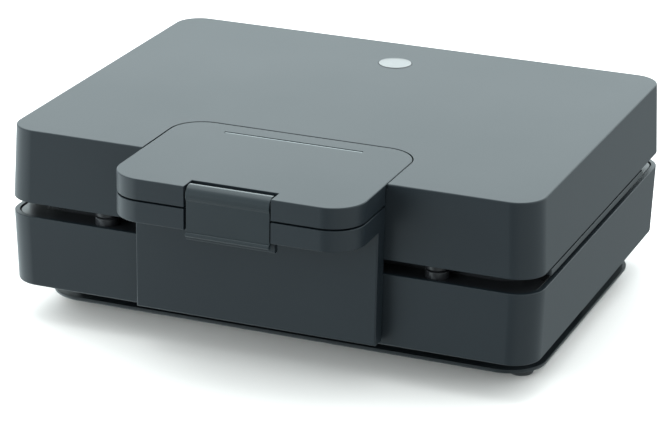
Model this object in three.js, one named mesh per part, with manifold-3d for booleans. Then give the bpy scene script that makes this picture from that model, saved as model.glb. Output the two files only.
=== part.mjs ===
// Donut maker: a countertop appliance whose hinged lid closes on a base. Each half holds a cast
// plate with ring-shaped cups, and a latch on the front handle keeps the halves together.
// Millimetres. X is left to right, Y is front to back, Z is up, and Z = 0 is the table.
// Inside the assembly group Y = 0 is the middle of the housings; the group is shifted so that
// the origin of the whole part is the middle of its footprint, handle and hinge included.

import * as THREE from 'three';
import { mergeVertices } from 'three/addons/utils/BufferGeometryUtils.js';
import Module from 'manifold-3d';

const wasm = await Module();
wasm.setup();

// Clearances
const fitGap = 0.3;            // between pieces that touch or seat
const screwGap = 0.3;          // around a screw's shank
const pinGap = 0.3;            // around a hinge pin
const cut = 1;                 // how far a cutter runs past the face it opens

// Facets around a full circle, and along a rounded corner
const holeFacets = 8;
const smallFacets = 12;
const roundFacets = 20;
const showFacets = 32;
const cornerFacets = 6;
const trayCornerFacets = 4;
const cupOuterFacets = 10;
const cupInnerFacets = 12;
const cupSteps = 4;            // down one side of a cup and up the other
const elementSteps = 44;
const elementFacets = 3;       // around half of the element's tube

// Housings
const bodyWidth = 330;         // across the rims
const bodyDepth = 255;
const cornerRadius = 17;
const wall = 3;
const floorWall = 2.5;
const topWall = 3;
const lowerHeight = 44;
const upperHeight = 44.8;
const rimGap = 8.6;            // between the two rims when closed
const standHeight = 23.6;      // table to the underside of the lower housing
const lowerDraft = 1.3;        // each side, rim to underside
const upperSideDraft = 2.1;    // each side, rim to top
const upperFrontDraft = 0.95;

// Bottom cover with its cord winding groove, and feet
const footHeight = 6;
const footRadius = 7.5;
const footStemRadius = 3;
const footStemLength = 2;
const footChamfer = 1.2;
const footSideInset = 15;      // flange edge to foot middle
const footFrontInset = 22;
const flangeThickness = 3;
const flangeSideInset = 8;     // rim to flange edge
const flangeFrontInset = 27.5;
const flangeBackInset = 22.5;
const flangeCorner = 24;
const neckInset = 17;          // flange edge to the neck's wall
const neckWall = 2.5;
const blockDepth = 84;         // the wider part of the neck, measured from the neck's back
const blockInset = 3.5;
const tabThickness = 2;        // cord retaining tabs under the housing
const tabHeight = 6;
const tabFrontInset = 30;      // flange front to the first tab
const coverBoss = 8;
const coverScrewInset = 14;

// Cooking plates
const plateEdgeGap = 0.8;      // groove between plate and housing wall
const plateRecess = 0.6;       // plate face below the rim
const plateThickness = 3;
const landRise = 4;            // cooking area above the plate's edge
const landSideMargin = 11;
const landFrontMargin = 14.5;
const landCorner = 14;
const landWall = 3;
const cupRadius = 33;
const cupDepth = 12;
const cupWall = 2.5;
const cupPostRadius = 9;
const cupBridge = 5;           // least land between two cups
const padRadius = 7;
const padSideInset = 62;       // rim to pad middle
const padGap = 0.3;            // between facing pads when closed

// Plate screws and posts
const screwRadius = 1.6;
const screwHeadRadius = 3.4;
const screwHeadHeight = 1.6;
const screwLength = 17;
const postRadius = 4;
const plateScrewX = 45;
const plateScrewInset = 7;     // plate edge to screw middle

// Heating element, clamps, reflector
const elementRadius = 3.2;
const elementInset = 32;       // land edge to element middle
const elementCorner = 24;
const elementTailX = 16;
const elementDrop = 0.8;       // air between a cup and the element
const clampWidth = 12;
const clampThickness = 1.2;
const clampY = 5;
const sheet = 1;
const reflectorInset = 1.5;    // inside the land's edge
const reflectorHeight = 22;
const reflectorClearance = 8;  // element middle to the reflector's floor

// Side rails hanging from the lid
const railHeight = 4.6;
const railThickness = 3.4;
const railDrop = 1.2;          // lid rim to rail
const railFrontInset = 28.5;
const railBackInset = 42.5;
const railSideInset = 0.8;
const railTabHeight = 1.5;
const railTabLength = 14;

// Handle halves and apron
const handleWidth = 149.6;
const handleReach = 49.1;      // ahead of the rims
const handleCorner = 20;
const handleWall = 2.5;
const inlayLength = 59;        // rim front to the inlay's back edge
const inlayThickness = 3;
const inlayGap = 0.6;
const recessFloor = 2.5;
const upperHandleHeight = 12.4;
const partingGap = 1;
const lowerHandleHeight = 12.6;
const coverThickness = 2;
const apronWidth = 148.6;
const apronReach = 10;
const apronWall = 3;
const apronRise = 3.4;         // housing underside to the apron's bottom edge
const handleRearGap = 0.5;     // between the handle parts and the rims
const handleScrewX = 62;
const handleBossRadius = 3.4;
const handleScrewHead = 5.4;

// Latch
const latchWidth = 50.6;
const latchSideGap = 1;
const latchLength = 30;
const latchBarrelRadius = 5.6;
const latchPlate = 2.2;
const latchBead = 1.6;
const latchPinRadius = 1.6;
const latchPinSeat = 2.4;      // how far the pin enters each side of the notch
const latchBackGap = 0.4;
const latchSeatDepth = 4.6;    // recess in the lower handle half behind the latch
const catchDepth = 4;
const catchHeight = 5.2;
const catchOverhang = 1.6;     // catch beyond the latch at each side

// Hinge
const hingeBehind = 7;         // rim to axis
const hingeSpread = 100;       // middle to each hinge
const hingeBarrelRadius = 6;
const lidBarrelWidth = 19.2;
const lugWidth = 8;
const lugGap = 0.4;
const hingePinRadius = 2.5;
const lugWebDrop = 22;
const lidWebRise = 20;

// Badge and indicator
const badgeRadius = 10.3;
const badgeThickness = 1.4;
const badgeProud = 0.3;
const badgeBackInset = 42.5;   // rim back to badge middle
const lensLength = 86;
const lensWidth = 1.4;
const lensInset = 13.4;        // inlay's back edge to lens middle
const boardWidth = 92;
const boardDepth = 18;
const boardThickness = 1.6;
const boardDrop = 5.2;         // recess floor underside to board
const boardPostX = 38;
const boardPostOffset = 6;
const boardPostRadius = 2.6;
const ledRadius = 1.5;
const ledSpacing = 30;
const ledTipGap = 0.6;
const ledDome = 1.4;

// Electrical pieces in the base
const glandBore = 3.5;         // radius
const glandBody = 5.5;
const glandFlange = 8;
const glandX = 16;
const glandHeight = 11;        // housing underside to the bore's middle
const glandLength = 9;
const glandLip = 2;
const blockSize = [32, 18, 8.6];
const blockX = 70;
const blockBackInset = 31.5;   // rim back to the terminal block's middle
const blockBoreRadius = 2;
const blockBoreSpacing = 9.7;
const thermostatRadius = 8.5;
const thermostatNeck = 6.5;
const thermostatShoulder = 3;
const thermostatHeight = 8;
const fuseRadius = 2.2;
const fuseLength = 22;

// Levels
const lowerBottom = standHeight;
const lowerRim = lowerBottom + lowerHeight;
const upperRim = lowerRim + rimGap;
const top = upperRim + upperHeight;
const lowerPlateFace = lowerRim - plateRecess;
const upperPlateFace = upperRim + plateRecess;
const hingeZ = (lowerRim + upperRim) / 2;
const flangeBottom = footHeight;
const flangeTop = flangeBottom + flangeThickness;
const housingFloor = lowerBottom + floorWall;
const handleScrewZ = lowerBottom + lowerHeight / 2;
const upperHandleBottom = top - upperHandleHeight;
const lowerHandleTop = upperHandleBottom - partingGap;
const lowerHandleBottom = lowerHandleTop - lowerHandleHeight;
const inlayBottom = top - inlayThickness;
const recessTop = inlayBottom - fitGap;
const recessUnderside = recessTop - recessFloor;
const boardTop = recessUnderside - boardDrop;

// Places across and along
const sideRim = bodyWidth / 2;
const frontRim = -bodyDepth / 2;
const backRim = bodyDepth / 2;
const handleFront = frontRim - handleReach;
const handleRear = frontRim - handleRearGap;
const apronFront = frontRim - apronReach;
const inlayBack = frontRim + inlayLength;
const notchHalf = latchWidth / 2 + latchSideGap;
const latchPinY = handleFront + latchBarrelRadius;
const latchPinZ = top - latchBarrelRadius;
const notchBack = latchPinY + latchBarrelRadius + latchBackGap;
const hingeY = backRim + hingeBehind;
const lensY = inlayBack - lensInset;
const flangeFront = frontRim + flangeFrontInset;
const flangeBack = backRim - flangeBackInset;
const flangeHalf = sideRim - flangeSideInset;
const neckHalf = flangeHalf - neckInset;
const neckFront = flangeFront + neckInset;
const neckBack = flangeBack - neckInset;

// Plate and land outlines
const plateWidth = bodyWidth - 2 * (wall + plateEdgeGap);
const plateDepth = bodyDepth - 2 * (wall + plateEdgeGap);
const plateCorner = cornerRadius - wall - plateEdgeGap;
const landWidth = plateWidth - 2 * landSideMargin;
const landDepth = plateDepth - 2 * landFrontMargin;
const cupPitch = 2 * cupRadius + cupBridge;
const cupColumns = Math.floor(landWidth / cupPitch);
const cupRows = Math.floor(landDepth / cupPitch);
const plateScrewY = plateDepth / 2 - plateScrewInset;
const padY = plateDepth / 2 - padRadius;
const padX = sideRim - padSideInset;
const elementZ = landRise - cupDepth - cupWall - elementDrop - elementRadius;
const reflectorZ = elementZ - reflectorClearance;
const thermostatTop = lowerPlateFace + landRise - plateThickness - fitGap;
const middleColumn = Math.ceil(cupColumns / 2);
const middleRow = Math.ceil(cupRows / 2);

// Materials
const finish = (color, roughness, metalness) =>
  new THREE.MeshStandardMaterial({ color, roughness, metalness });
const casing = () => finish(0x3c4446, 0.45, 0);
const nonstick = () => finish(0x17191b, 0.3, 0.2);
const steel = () => finish(0xb4b7ba, 0.3, 1);
const aluminium = () => finish(0xc6c8ca, 0.4, 1);
const rubber = () => finish(0x151617, 0.85, 0);
const darkPlastic = () => finish(0x202426, 0.55, 0);

// Geometry helpers
const toSolid = (geometry) => {
  geometry.deleteAttribute('normal');
  geometry.deleteAttribute('uv');
  const merged = mergeVertices(geometry);
  return new wasm.Manifold(new wasm.Mesh({
    numProp: 3,
    vertProperties: Float32Array.from(merged.attributes.position.array),
    triVerts: Uint32Array.from(merged.index.array),
  }));
};

const toGeometry = (solid) => {
  const mesh = solid.getMesh();
  const geometry = new THREE.BufferGeometry();
  geometry.setAttribute('position', new THREE.BufferAttribute(mesh.vertProperties, 3));
  geometry.setIndex(new THREE.BufferAttribute(mesh.triVerts, 1));
  return geometry;
};

const addPart = (group, name, solid, material) => {
  const mesh = new THREE.Mesh(toGeometry(solid), material);
  mesh.name = name;
  group.add(mesh);
  return mesh;
};

// A rectangle from (x0, y0) to (x1, y1) with its four corners rounded to the given radii,
// taken as front right, back right, back left, front left.
const roundedOutline = (x0, y0, x1, y1, radii) => {
  const [fr, br, bl, fl] = radii;
  const shape = new THREE.Shape();
  const corner = (x, y, r, start) => {
    if (r > 0) shape.absarc(x, y, r, start, start + Math.PI / 2, false);
    else shape.lineTo(x, y);
  };
  shape.moveTo(x0 + fl, y0);
  shape.lineTo(x1 - fr, y0);
  corner(x1 - fr, y0 + fr, fr, -Math.PI / 2);
  corner(x1 - br, y1 - br, br, 0);
  corner(x0 + bl, y1 - bl, bl, Math.PI / 2);
  corner(x0 + fl, y0 + fl, fl, Math.PI);
  shape.closePath();
  return shape;
};

const centredOutline = (width, depth, r) =>
  roundedOutline(-width / 2, -depth / 2, width / 2, depth / 2, [r, r, r, r]);

const slab = (shape, z0, z1, curveSegments = cornerFacets) => {
  const geometry = new THREE.ExtrudeGeometry(shape, {
    depth: z1 - z0, bevelEnabled: false, curveSegments,
  });
  geometry.translate(0, 0, z0);
  return toSolid(geometry);
};

// A block with rounded corners whose outline changes size evenly from bottom to top.
const tapered = (bottom, topSize, radius, z0, z1) => {
  const geometry = new THREE.ExtrudeGeometry(centredOutline(bottom[0], bottom[1], radius), {
    depth: z1 - z0, bevelEnabled: false, curveSegments: cornerFacets,
  });
  const points = geometry.attributes.position;
  for (let i = 0; i < points.count; i += 1) {
    if (points.getZ(i) > 0) {
      points.setX(i, points.getX(i) * topSize[0] / bottom[0]);
      points.setY(i, points.getY(i) * topSize[1] / bottom[1]);
    }
  }
  geometry.translate(0, 0, z0);
  return toSolid(geometry);
};

const box = (x0, x1, y0, y1, z0, z1) => {
  const geometry = new THREE.BoxGeometry(x1 - x0, y1 - y0, z1 - z0);
  geometry.translate((x0 + x1) / 2, (y0 + y1) / 2, (z0 + z1) / 2);
  return toSolid(geometry);
};

// Revolves (radius, height) points, listed anticlockwise, about a vertical axis at (x, y).
const turned = (profile, x, y, segments = roundFacets) => {
  const points = profile.map(([r, h]) => new THREE.Vector2(r, h));
  const geometry = new THREE.LatheGeometry(points, segments);
  geometry.rotateX(Math.PI / 2);
  geometry.translate(x, y, 0);
  return toSolid(geometry);
};

const rod = (x, y, radius, z0, z1, segments = smallFacets) =>
  turned([[0, z0], [radius, z0], [radius, z1], [0, z1]], x, y, segments);

// A rod along X through (y, z).
const rodAlongX = (x0, x1, y, z, radius, segments = smallFacets) => {
  const geometry = new THREE.CylinderGeometry(radius, radius, x1 - x0, segments);
  geometry.rotateZ(Math.PI / 2);
  geometry.translate((x0 + x1) / 2, y, z);
  return toSolid(geometry);
};

// A rod along Y through (x, z).
const rodAlongY = (y0, y1, x, z, radius, segments = smallFacets) => {
  const geometry = new THREE.CylinderGeometry(radius, radius, y1 - y0, segments);
  geometry.translate(x, (y0 + y1) / 2, z);
  return toSolid(geometry);
};

// A (y, z) polygon drawn anticlockwise as seen from +X, pushed along X.
const profileAlongX = (points, x0, x1) => {
  const shape = new THREE.Shape(points.map(([y, z]) => new THREE.Vector2(y, z)));
  const geometry = new THREE.ExtrudeGeometry(shape, { depth: x1 - x0, bevelEnabled: false });
  const turn = new THREE.Matrix4().makeBasis(
    new THREE.Vector3(0, 1, 0), new THREE.Vector3(0, 0, 1), new THREE.Vector3(1, 0, 0));
  geometry.applyMatrix4(turn);
  geometry.translate(x0, 0, 0);
  return toSolid(geometry);
};

const join = (solids) => solids.reduce((sum, solid) => sum.add(solid));
const sides = [['left', -1], ['right', 1]];
const ends = [['front', -1], ['back', 1]];

// The middle of a hinge leaf that spans both sides of the given x, on either side of centre.
const hingeSpans = (side) => {
  const inner = hingeSpread - lidBarrelWidth / 2;
  const outer = hingeSpread + lidBarrelWidth / 2;
  const place = (a, b) => (side > 0 ? [a, b] : [-b, -a]);
  return {
    barrel: place(inner, outer),
    lugs: [place(inner - lugGap - lugWidth, inner - lugGap),
      place(outer + lugGap, outer + lugGap + lugWidth)],
    pin: place(inner - lugGap - lugWidth, outer + lugGap + lugWidth),
  };
};

const platePosts = (baseZ, faceZ) => join(sides.flatMap(([, sx]) =>
  ends.map(([, sy]) =>
    rod(sx * plateScrewX, sy * plateScrewY, postRadius, baseZ, faceZ, holeFacets))));

const platePostHoles = (lowZ, highZ) => join(sides.flatMap(([, sx]) =>
  ends.map(([, sy]) =>
    rod(sx * plateScrewX, sy * plateScrewY, screwRadius + screwGap, lowZ, highZ))));

// Base tub: drafted walls, a floor, posts for the plate, lugs for the hinge.
const lowerHousing = () => {
  const bottomSize = [bodyWidth - 2 * lowerDraft, bodyDepth - 2 * lowerDraft];
  const outer = tapered(bottomSize, [bodyWidth, bodyDepth], cornerRadius, lowerBottom, lowerRim);
  const inner = tapered(
    bottomSize.map((size) => size - 2 * wall), [bodyWidth - 2 * wall, bodyDepth - 2 * wall],
    cornerRadius - wall, housingFloor, lowerRim + fitGap);
  const postTop = lowerPlateFace - plateThickness - fitGap;
  let housing = outer.subtract(inner)
    .add(platePosts(housingFloor - cut, postTop))
    .subtract(platePostHoles(postTop - screwLength, postTop + cut));
  const web = [
    [backRim - cut, lowerRim - lugWebDrop], [hingeY + hingeBarrelRadius, hingeZ - hingeBarrelRadius],
    [hingeY + hingeBarrelRadius, hingeZ], [hingeY - hingeBarrelRadius, hingeZ],
    [backRim - cut, lowerRim - fitGap]];
  for (const [, side] of sides) {
    for (const [a, b] of hingeSpans(side).lugs) {
      housing = housing.add(rodAlongX(a, b, hingeY, hingeZ, hingeBarrelRadius))
        .add(profileAlongX(web, a, b));
    }
    const [p, q] = hingeSpans(side).pin;
    housing = housing.subtract(
      rodAlongX(p - cut, q + cut, hingeY, hingeZ, hingePinRadius + pinGap));
  }
  for (const [x, y] of coverScrewPlaces()) {
    const bossTop = housingFloor + coverBoss;
    housing = housing.add(rod(x, y, postRadius, housingFloor - cut, bossTop, holeFacets))
      .subtract(rod(x, y, screwRadius + screwGap, lowerBottom - cut, bossTop - cut, holeFacets));
  }
  for (const [, side] of sides) {
    housing = housing.subtract(rodAlongY(frontRim - cut, frontRim + 2 * wall,
      side * handleScrewX, handleScrewZ, screwRadius + screwGap, holeFacets));
  }
  return housing.subtract(rodAlongY(backRim - 3 * wall, backRim + cut,
    glandX, lowerBottom + glandHeight, glandBody + fitGap, roundFacets));
};

// Bottom cover: a flange that the feet stand under, and a neck that the cord is wound around.
const coverScrewPlaces = () => sides.flatMap(([, sx]) => [
  [sx * (neckHalf - coverScrewInset), neckFront + coverScrewInset],
  [sx * (neckHalf - coverScrewInset), neckBack - coverScrewInset],
]);

const feetPlaces = () => sides.flatMap(([sideName, sx]) => [
  [`foot_front_${sideName}`, sx * (flangeHalf - footSideInset), flangeFront + footFrontInset],
  [`foot_back_${sideName}`, sx * (flangeHalf - footSideInset), flangeBack - footFrontInset],
]);

const bottomCover = () => {
  const neckTop = lowerBottom - fitGap;
  const blockFront = neckBack - blockDepth;
  const flange = slab(roundedOutline(-flangeHalf, flangeFront, flangeHalf, flangeBack,
    Array(4).fill(flangeCorner)), flangeBottom, flangeTop);
  const outline = (inset) => {
    const square = [0, 0, 0, 0];
    const narrow = roundedOutline(-neckHalf + inset, neckFront + inset, neckHalf - inset,
      neckBack - inset, square);
    const wide = roundedOutline(-flangeHalf + blockInset + inset, blockFront + inset,
      flangeHalf - blockInset - inset, neckBack - inset, square);
    return [narrow, wide];
  };
  const solidOf = (inset, z0, z1) => join(outline(inset).map((shape) => slab(shape, z0, z1)));
  let cover = flange.add(solidOf(0, flangeTop - fitGap, neckTop))
    .subtract(solidOf(neckWall, flangeTop, neckTop + cut));
  for (const [x, y] of coverScrewPlaces()) {
    cover = cover.add(rod(x, y, postRadius, flangeTop - cut, neckTop, holeFacets))
      .subtract(rod(x, y, screwRadius + screwGap, flangeBottom - cut, neckTop + cut, holeFacets))
      .subtract(rod(x, y, screwHeadRadius + screwGap, flangeBottom - cut,
        flangeBottom + screwHeadHeight + fitGap));
  }
  for (const [, x, y] of feetPlaces()) {
    cover = cover.subtract(rod(x, y, footStemRadius + fitGap, flangeBottom - cut,
      flangeBottom + footStemLength + fitGap));
  }
  const tabYs = [flangeFront + tabFrontInset, blockFront - 2 * tabThickness];
  for (const [, side] of sides) {
    for (const y of tabYs) {
      const [a, b] = [neckHalf - cut, flangeHalf - blockInset];
      cover = cover.add(box(side > 0 ? a : -b, side > 0 ? b : -a,
        y, y + tabThickness, neckTop - tabHeight, neckTop));
    }
  }
  return cover;
};

const foot = (x, y) => {
  const shoulder = footHeight - fitGap;
  return turned([
    [0, 0], [footRadius - footChamfer, 0], [footRadius, footChamfer], [footRadius, shoulder],
    [footStemRadius, shoulder], [footStemRadius, shoulder + footStemLength],
    [0, shoulder + footStemLength]], x, y);
};

const coverScrew = (x, y) => {
  const headBottom = flangeBottom + fitGap;
  const headTop = flangeBottom + screwHeadHeight;
  const tip = housingFloor + coverBoss - 2 * cut;
  return turned([
    [0, headBottom], [screwHeadRadius, headBottom], [screwHeadRadius, headTop],
    [screwRadius, headTop], [screwRadius, tip], [0, tip]], x, y, holeFacets);
};

// Half ellipse of a cup's section, from the post to the outer edge, in (radius, height).
const cupSection = (extra, faceZ) => {
  const middle = (cupRadius + cupPostRadius) / 2;
  const halfWidth = (cupRadius - cupPostRadius) / 2 + extra;
  const depth = cupDepth + extra;
  return Array.from({ length: cupSteps + 1 }, (_, i) => {
    const angle = Math.PI * (1 - i / cupSteps);
    return [middle + halfWidth * Math.cos(angle), faceZ - depth * Math.sin(angle)];
  });
};

const cupPlaces = () => {
  const places = [];
  for (let row = 0; row < cupRows; row += 1) {
    for (let column = 0; column < cupColumns; column += 1) {
      places.push([
        (column - (cupColumns - 1) / 2) * landWidth / cupColumns,
        (row - (cupRows - 1) / 2) * landDepth / cupRows]);
    }
  }
  return places;
};

// Cast plate, drawn with its cooking face up and its edge face at Z = 0.
const plate = () => {
  const landOutline = (inset) =>
    centredOutline(landWidth - 2 * inset, landDepth - 2 * inset, landCorner - inset);
  let casting = slab(centredOutline(plateWidth, plateDepth, plateCorner), -plateThickness, 0)
    .add(slab(landOutline(0), -plateThickness, landRise))
    .subtract(slab(landOutline(landWall), -plateThickness - cut, landRise - plateThickness));
  for (const [x, y] of cupPlaces()) {
    const outer = cupSection(cupWall, landRise - fitGap);
    casting = casting.add(turned([...outer, outer[0]], x, y, cupOuterFacets));
  }
  for (const [x, y] of cupPlaces()) {
    const inner = cupSection(0, landRise);
    const rise = landRise + cut;
    casting = casting.subtract(turned(
      [...inner, [cupRadius, rise], [cupPostRadius, rise], inner[0]], x, y, cupInnerFacets));
  }
  const padTop = rimGap / 2 + plateRecess - padGap / 2;
  for (const [, side] of sides) {
    casting = casting.add(rod(side * padX, -padY, padRadius, -cut, padTop, roundFacets));
  }
  for (const [, sx] of sides) {
    for (const [, sy] of ends) {
      const [x, y] = [sx * plateScrewX, sy * plateScrewY];
      casting = casting
        .subtract(rod(x, y, screwRadius + screwGap, -plateThickness - cut, cut, holeFacets))
        .subtract(rod(x, y, screwHeadRadius + screwGap, -screwHeadHeight - fitGap, cut));
    }
  }
  return casting;
};

const plateScrew = (x, y) => turned([
  [0, -screwLength], [screwRadius, -screwLength], [screwRadius, -screwHeadHeight],
  [screwHeadRadius, -screwHeadHeight], [screwHeadRadius, -fitGap / 2], [0, -fitGap / 2],
], x, y, holeFacets);

// Tubular element: one loop under the cups, open at the back where its two tails leave it.
const element = () => {
  const x = landWidth / 2 - elementInset;
  const y = landDepth / 2 - elementInset;
  const r = elementCorner;
  const path = new THREE.CurvePath();
  const p = (a, b) => new THREE.Vector3(a, b, 0);
  const bend = (from, corner, to) => path.add(new THREE.QuadraticBezierCurve3(from, corner, to));
  const run = (from, to) => path.add(new THREE.LineCurve3(from, to));
  run(p(elementTailX, y), p(x - r, y));
  bend(p(x - r, y), p(x, y), p(x, y - r));
  run(p(x, y - r), p(x, -y + r));
  bend(p(x, -y + r), p(x, -y), p(x - r, -y));
  run(p(x - r, -y), p(-x + r, -y));
  bend(p(-x + r, -y), p(-x, -y), p(-x, -y + r));
  run(p(-x, -y + r), p(-x, y - r));
  bend(p(-x, y - r), p(-x, y), p(-x + r, y));
  run(p(-x + r, y), p(-elementTailX, y));
  const circle = new THREE.Shape();
  circle.absarc(0, 0, elementRadius, 0, 2 * Math.PI, false);
  const geometry = new THREE.ExtrudeGeometry(circle, {
    steps: elementSteps, curveSegments: elementFacets, extrudePath: path,
  });
  geometry.translate(0, 0, elementZ);
  return toSolid(geometry);
};

// Strap that holds one side of the element up against the plate.
const elementClamp = (side) => {
  const x = side * (landWidth / 2 - elementInset);
  const reach = elementRadius + fitGap;
  const low = elementZ - reach - clampThickness;
  const high = elementZ + elementRadius;
  const strap = box(x - reach - clampThickness, x + reach + clampThickness,
    clampY - clampWidth / 2, clampY + clampWidth / 2, low, high);
  return strap.subtract(box(x - reach, x + reach, clampY - clampWidth, clampY + clampWidth,
    elementZ - reach, high + cut));
};

// Bright sheet tray behind the element that sends its heat to the plate.
const reflector = () => {
  const width = landWidth - 2 * reflectorInset;
  const depth = landDepth - 2 * reflectorInset;
  const rise = Math.min(reflectorZ + reflectorHeight, -plateThickness - fitGap);
  const outer = slab(centredOutline(width, depth, landCorner), reflectorZ, rise,
    trayCornerFacets);
  const inner = slab(centredOutline(width - 2 * sheet, depth - 2 * sheet, landCorner - sheet),
    reflectorZ + sheet, rise + cut, trayCornerFacets);
  return outer.subtract(inner);
};

// One half's cooking set, drawn with the cooking face up.
const addCookingSet = (group, half) => {
  addPart(group, `${half}_plate`, plate(), nonstick());
  for (const [endName, sy] of ends) {
    for (const [sideName, sx] of sides) {
      addPart(group, `${half}_plate_screw_${endName}_${sideName}`,
        plateScrew(sx * plateScrewX, sy * plateScrewY), steel());
    }
  }
  addPart(group, `${half}_heating_element`, element(), steel());
  for (const [sideName, side] of sides) {
    addPart(group, `${half}_element_clamp_${sideName}`, elementClamp(side), steel());
  }
  addPart(group, `${half}_reflector`, reflector(), aluminium());
};

// Lower handle half and the apron that carries it up from the base in front of the lid.
const handleOutline = (inset, back, backRadius) => {
  const r = handleCorner - inset;
  return roundedOutline(-handleWidth / 2 + inset, handleFront + inset, handleWidth / 2 - inset,
    back, [r, backRadius, backRadius, r]);
};

const notchCutter = (half, back, z0, z1) => box(-half, half, handleFront - cut, back, z0, z1);

const lowerHandle = () => {
  const seatBack = handleFront + latchSeatDepth;
  const pocketTop = lowerHandleTop + cut;
  const apronBottom = lowerBottom + apronRise;
  const deck = slab(handleOutline(0, handleRear, 0), lowerHandleBottom, lowerHandleTop);
  const pocket = slab(handleOutline(handleWall, apronFront, 0),
    lowerHandleBottom + handleWall, pocketTop)
    .subtract(notchCutter(notchHalf + handleWall, seatBack + handleWall,
      lowerHandleBottom, pocketTop + cut));
  const apron = box(-apronWidth / 2, apronWidth / 2, apronFront, handleRear,
    apronBottom, lowerHandleBottom + cut);
  const hollow = box(-apronWidth / 2 + apronWall, apronWidth / 2 - apronWall,
    apronFront + apronWall, handleRear + cut, apronBottom + apronWall,
    lowerHandleBottom - apronWall);
  const catchHalf = latchWidth / 2 + catchOverhang;
  const catchBar = box(-catchHalf, catchHalf, seatBack, seatBack + catchDepth,
    lowerHandleBottom - catchHeight, lowerHandleBottom + cut);
  let handle = deck.add(apron).add(catchBar).subtract(pocket).subtract(hollow)
    .subtract(notchCutter(notchHalf, seatBack, lowerHandleBottom - cut, pocketTop));
  for (const [, side] of sides) {
    const x = side * handleScrewX;
    handle = handle
      .add(rodAlongY(apronFront + cut, handleRear, x, handleScrewZ, postRadius))
      .subtract(rodAlongY(apronFront + apronWall, handleRear + cut, x, handleScrewZ,
        screwRadius + screwGap, holeFacets));
  }
  return handle;
};

const lowerHandleCover = () => slab(handleOutline(handleWall + fitGap, apronFront - fitGap, 0),
  lowerHandleTop - coverThickness, lowerHandleTop - fitGap)
  .subtract(notchCutter(notchHalf + handleWall + fitGap,
    handleFront + latchSeatDepth + handleWall + fitGap,
    lowerHandleBottom, lowerHandleTop + cut));

const lowerHandleScrew = (x) => {
  const seat = frontRim + lowerDraft + wall + fitGap;
  return rodAlongY(seat, seat + screwHeadHeight, x, handleScrewZ, screwHeadRadius, holeFacets)
    .add(rodAlongY(apronFront + apronWall + fitGap, seat + fitGap, x, handleScrewZ,
      screwRadius, holeFacets));
};

// Lid shell: drafted walls, a top with a recess for the handle's inlay, hinge barrels.
const inlayRecess = () => roundedOutline(-handleWidth / 2 - inlayGap, frontRim - handleReach,
  handleWidth / 2 + inlayGap, inlayBack + inlayGap,
  [0, handleCorner + inlayGap, handleCorner + inlayGap, 0]);

const handleBossPlaces = () => sides.map(([sideName, side]) =>
  [sideName, side * (handleWidth / 2 - handleCorner), (frontRim + inlayBack) / 2]);

const upperHousing = () => {
  const topSize = [bodyWidth - 2 * upperSideDraft, bodyDepth - 2 * upperFrontDraft];
  const outer = tapered([bodyWidth, bodyDepth], topSize, cornerRadius, upperRim, top);
  const inner = tapered([bodyWidth - 2 * wall, bodyDepth - 2 * wall],
    topSize.map((size) => size - 2 * wall), cornerRadius - wall, upperRim - fitGap,
    top - topWall);
  const underRecess = slab(roundedOutline(-handleWidth / 2 - inlayGap - wall, frontRim + wall,
    handleWidth / 2 + inlayGap + wall, inlayBack + inlayGap + wall, [0, 0, 0, 0]),
  recessUnderside, top - cut);
  const postBottom = upperPlateFace + plateThickness + fitGap;
  let housing = outer.subtract(inner).add(underRecess)
    .add(platePosts(postBottom, top - topWall + cut))
    .subtract(platePostHoles(postBottom - cut, postBottom + screwLength))
    .subtract(slab(inlayRecess(), recessTop, top + cut));
  const web = [
    [backRim - wall / 2, upperRim + fitGap], [hingeY - hingeBarrelRadius, hingeZ],
    [hingeY + hingeBarrelRadius, hingeZ], [hingeY + hingeBarrelRadius, hingeZ + hingeBarrelRadius],
    [backRim - wall / 2, upperRim + lidWebRise]];
  for (const [, side] of sides) {
    const [a, b] = hingeSpans(side).barrel;
    housing = housing.add(rodAlongX(a, b, hingeY, hingeZ, hingeBarrelRadius))
      .add(profileAlongX(web, a, b))
      .subtract(rodAlongX(a - cut, b + cut, hingeY, hingeZ, hingePinRadius + pinGap));
  }
  for (const [, x, y] of handleBossPlaces()) {
    housing = housing.subtract(
      rod(x, y, handleBossRadius + fitGap, recessUnderside - cut, recessTop + cut));
  }
  for (const [, side] of sides) {
    housing = housing.add(rod(side * boardPostX, lensY + boardPostOffset, boardPostRadius,
      boardTop + fitGap, recessUnderside + cut));
  }
  const badgeSeat = top - badgeThickness + badgeProud - fitGap;
  return housing
    .subtract(box(-lensLength / 2, lensLength / 2, lensY - lensWidth, lensY + lensWidth,
      recessUnderside - cut, recessTop + cut))
    .subtract(rod(0, backRim - badgeBackInset, badgeRadius + fitGap, badgeSeat, top + cut,
      showFacets));
};

// Upper handle half with the inlay that runs back over the lid.
const upperHandle = () => {
  const back = inlayBack;
  const sheetPart = slab(handleOutline(0, back, handleCorner), inlayBottom, top);
  const grip = slab(handleOutline(0, handleRear, 0), upperHandleBottom, top);
  const pocket = slab(handleOutline(handleWall, handleRear - handleWall, 0),
    upperHandleBottom - cut, inlayBottom)
    .subtract(notchCutter(notchHalf + handleWall, notchBack + handleWall,
      upperHandleBottom - 2 * cut, top));
  let handle = sheetPart.add(grip).subtract(pocket)
    .subtract(notchCutter(notchHalf, notchBack, upperHandleBottom - cut, top + cut))
    .subtract(rodAlongX(-notchHalf - latchPinSeat - fitGap, notchHalf + latchPinSeat + fitGap,
      latchPinY, latchPinZ, latchPinRadius + pinGap))
    .subtract(box(-lensLength / 2 - fitGap, lensLength / 2 + fitGap,
      lensY - lensWidth / 2 - fitGap, lensY + lensWidth / 2 + fitGap, inlayBottom - cut, top + cut));
  for (const [, x, y] of handleBossPlaces()) {
    handle = handle.add(rod(x, y, handleBossRadius, recessUnderside + fitGap, inlayBottom + cut))
      .subtract(rod(x, y, screwRadius + screwGap, recessUnderside, top - cut));
  }
  return handle;
};

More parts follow.
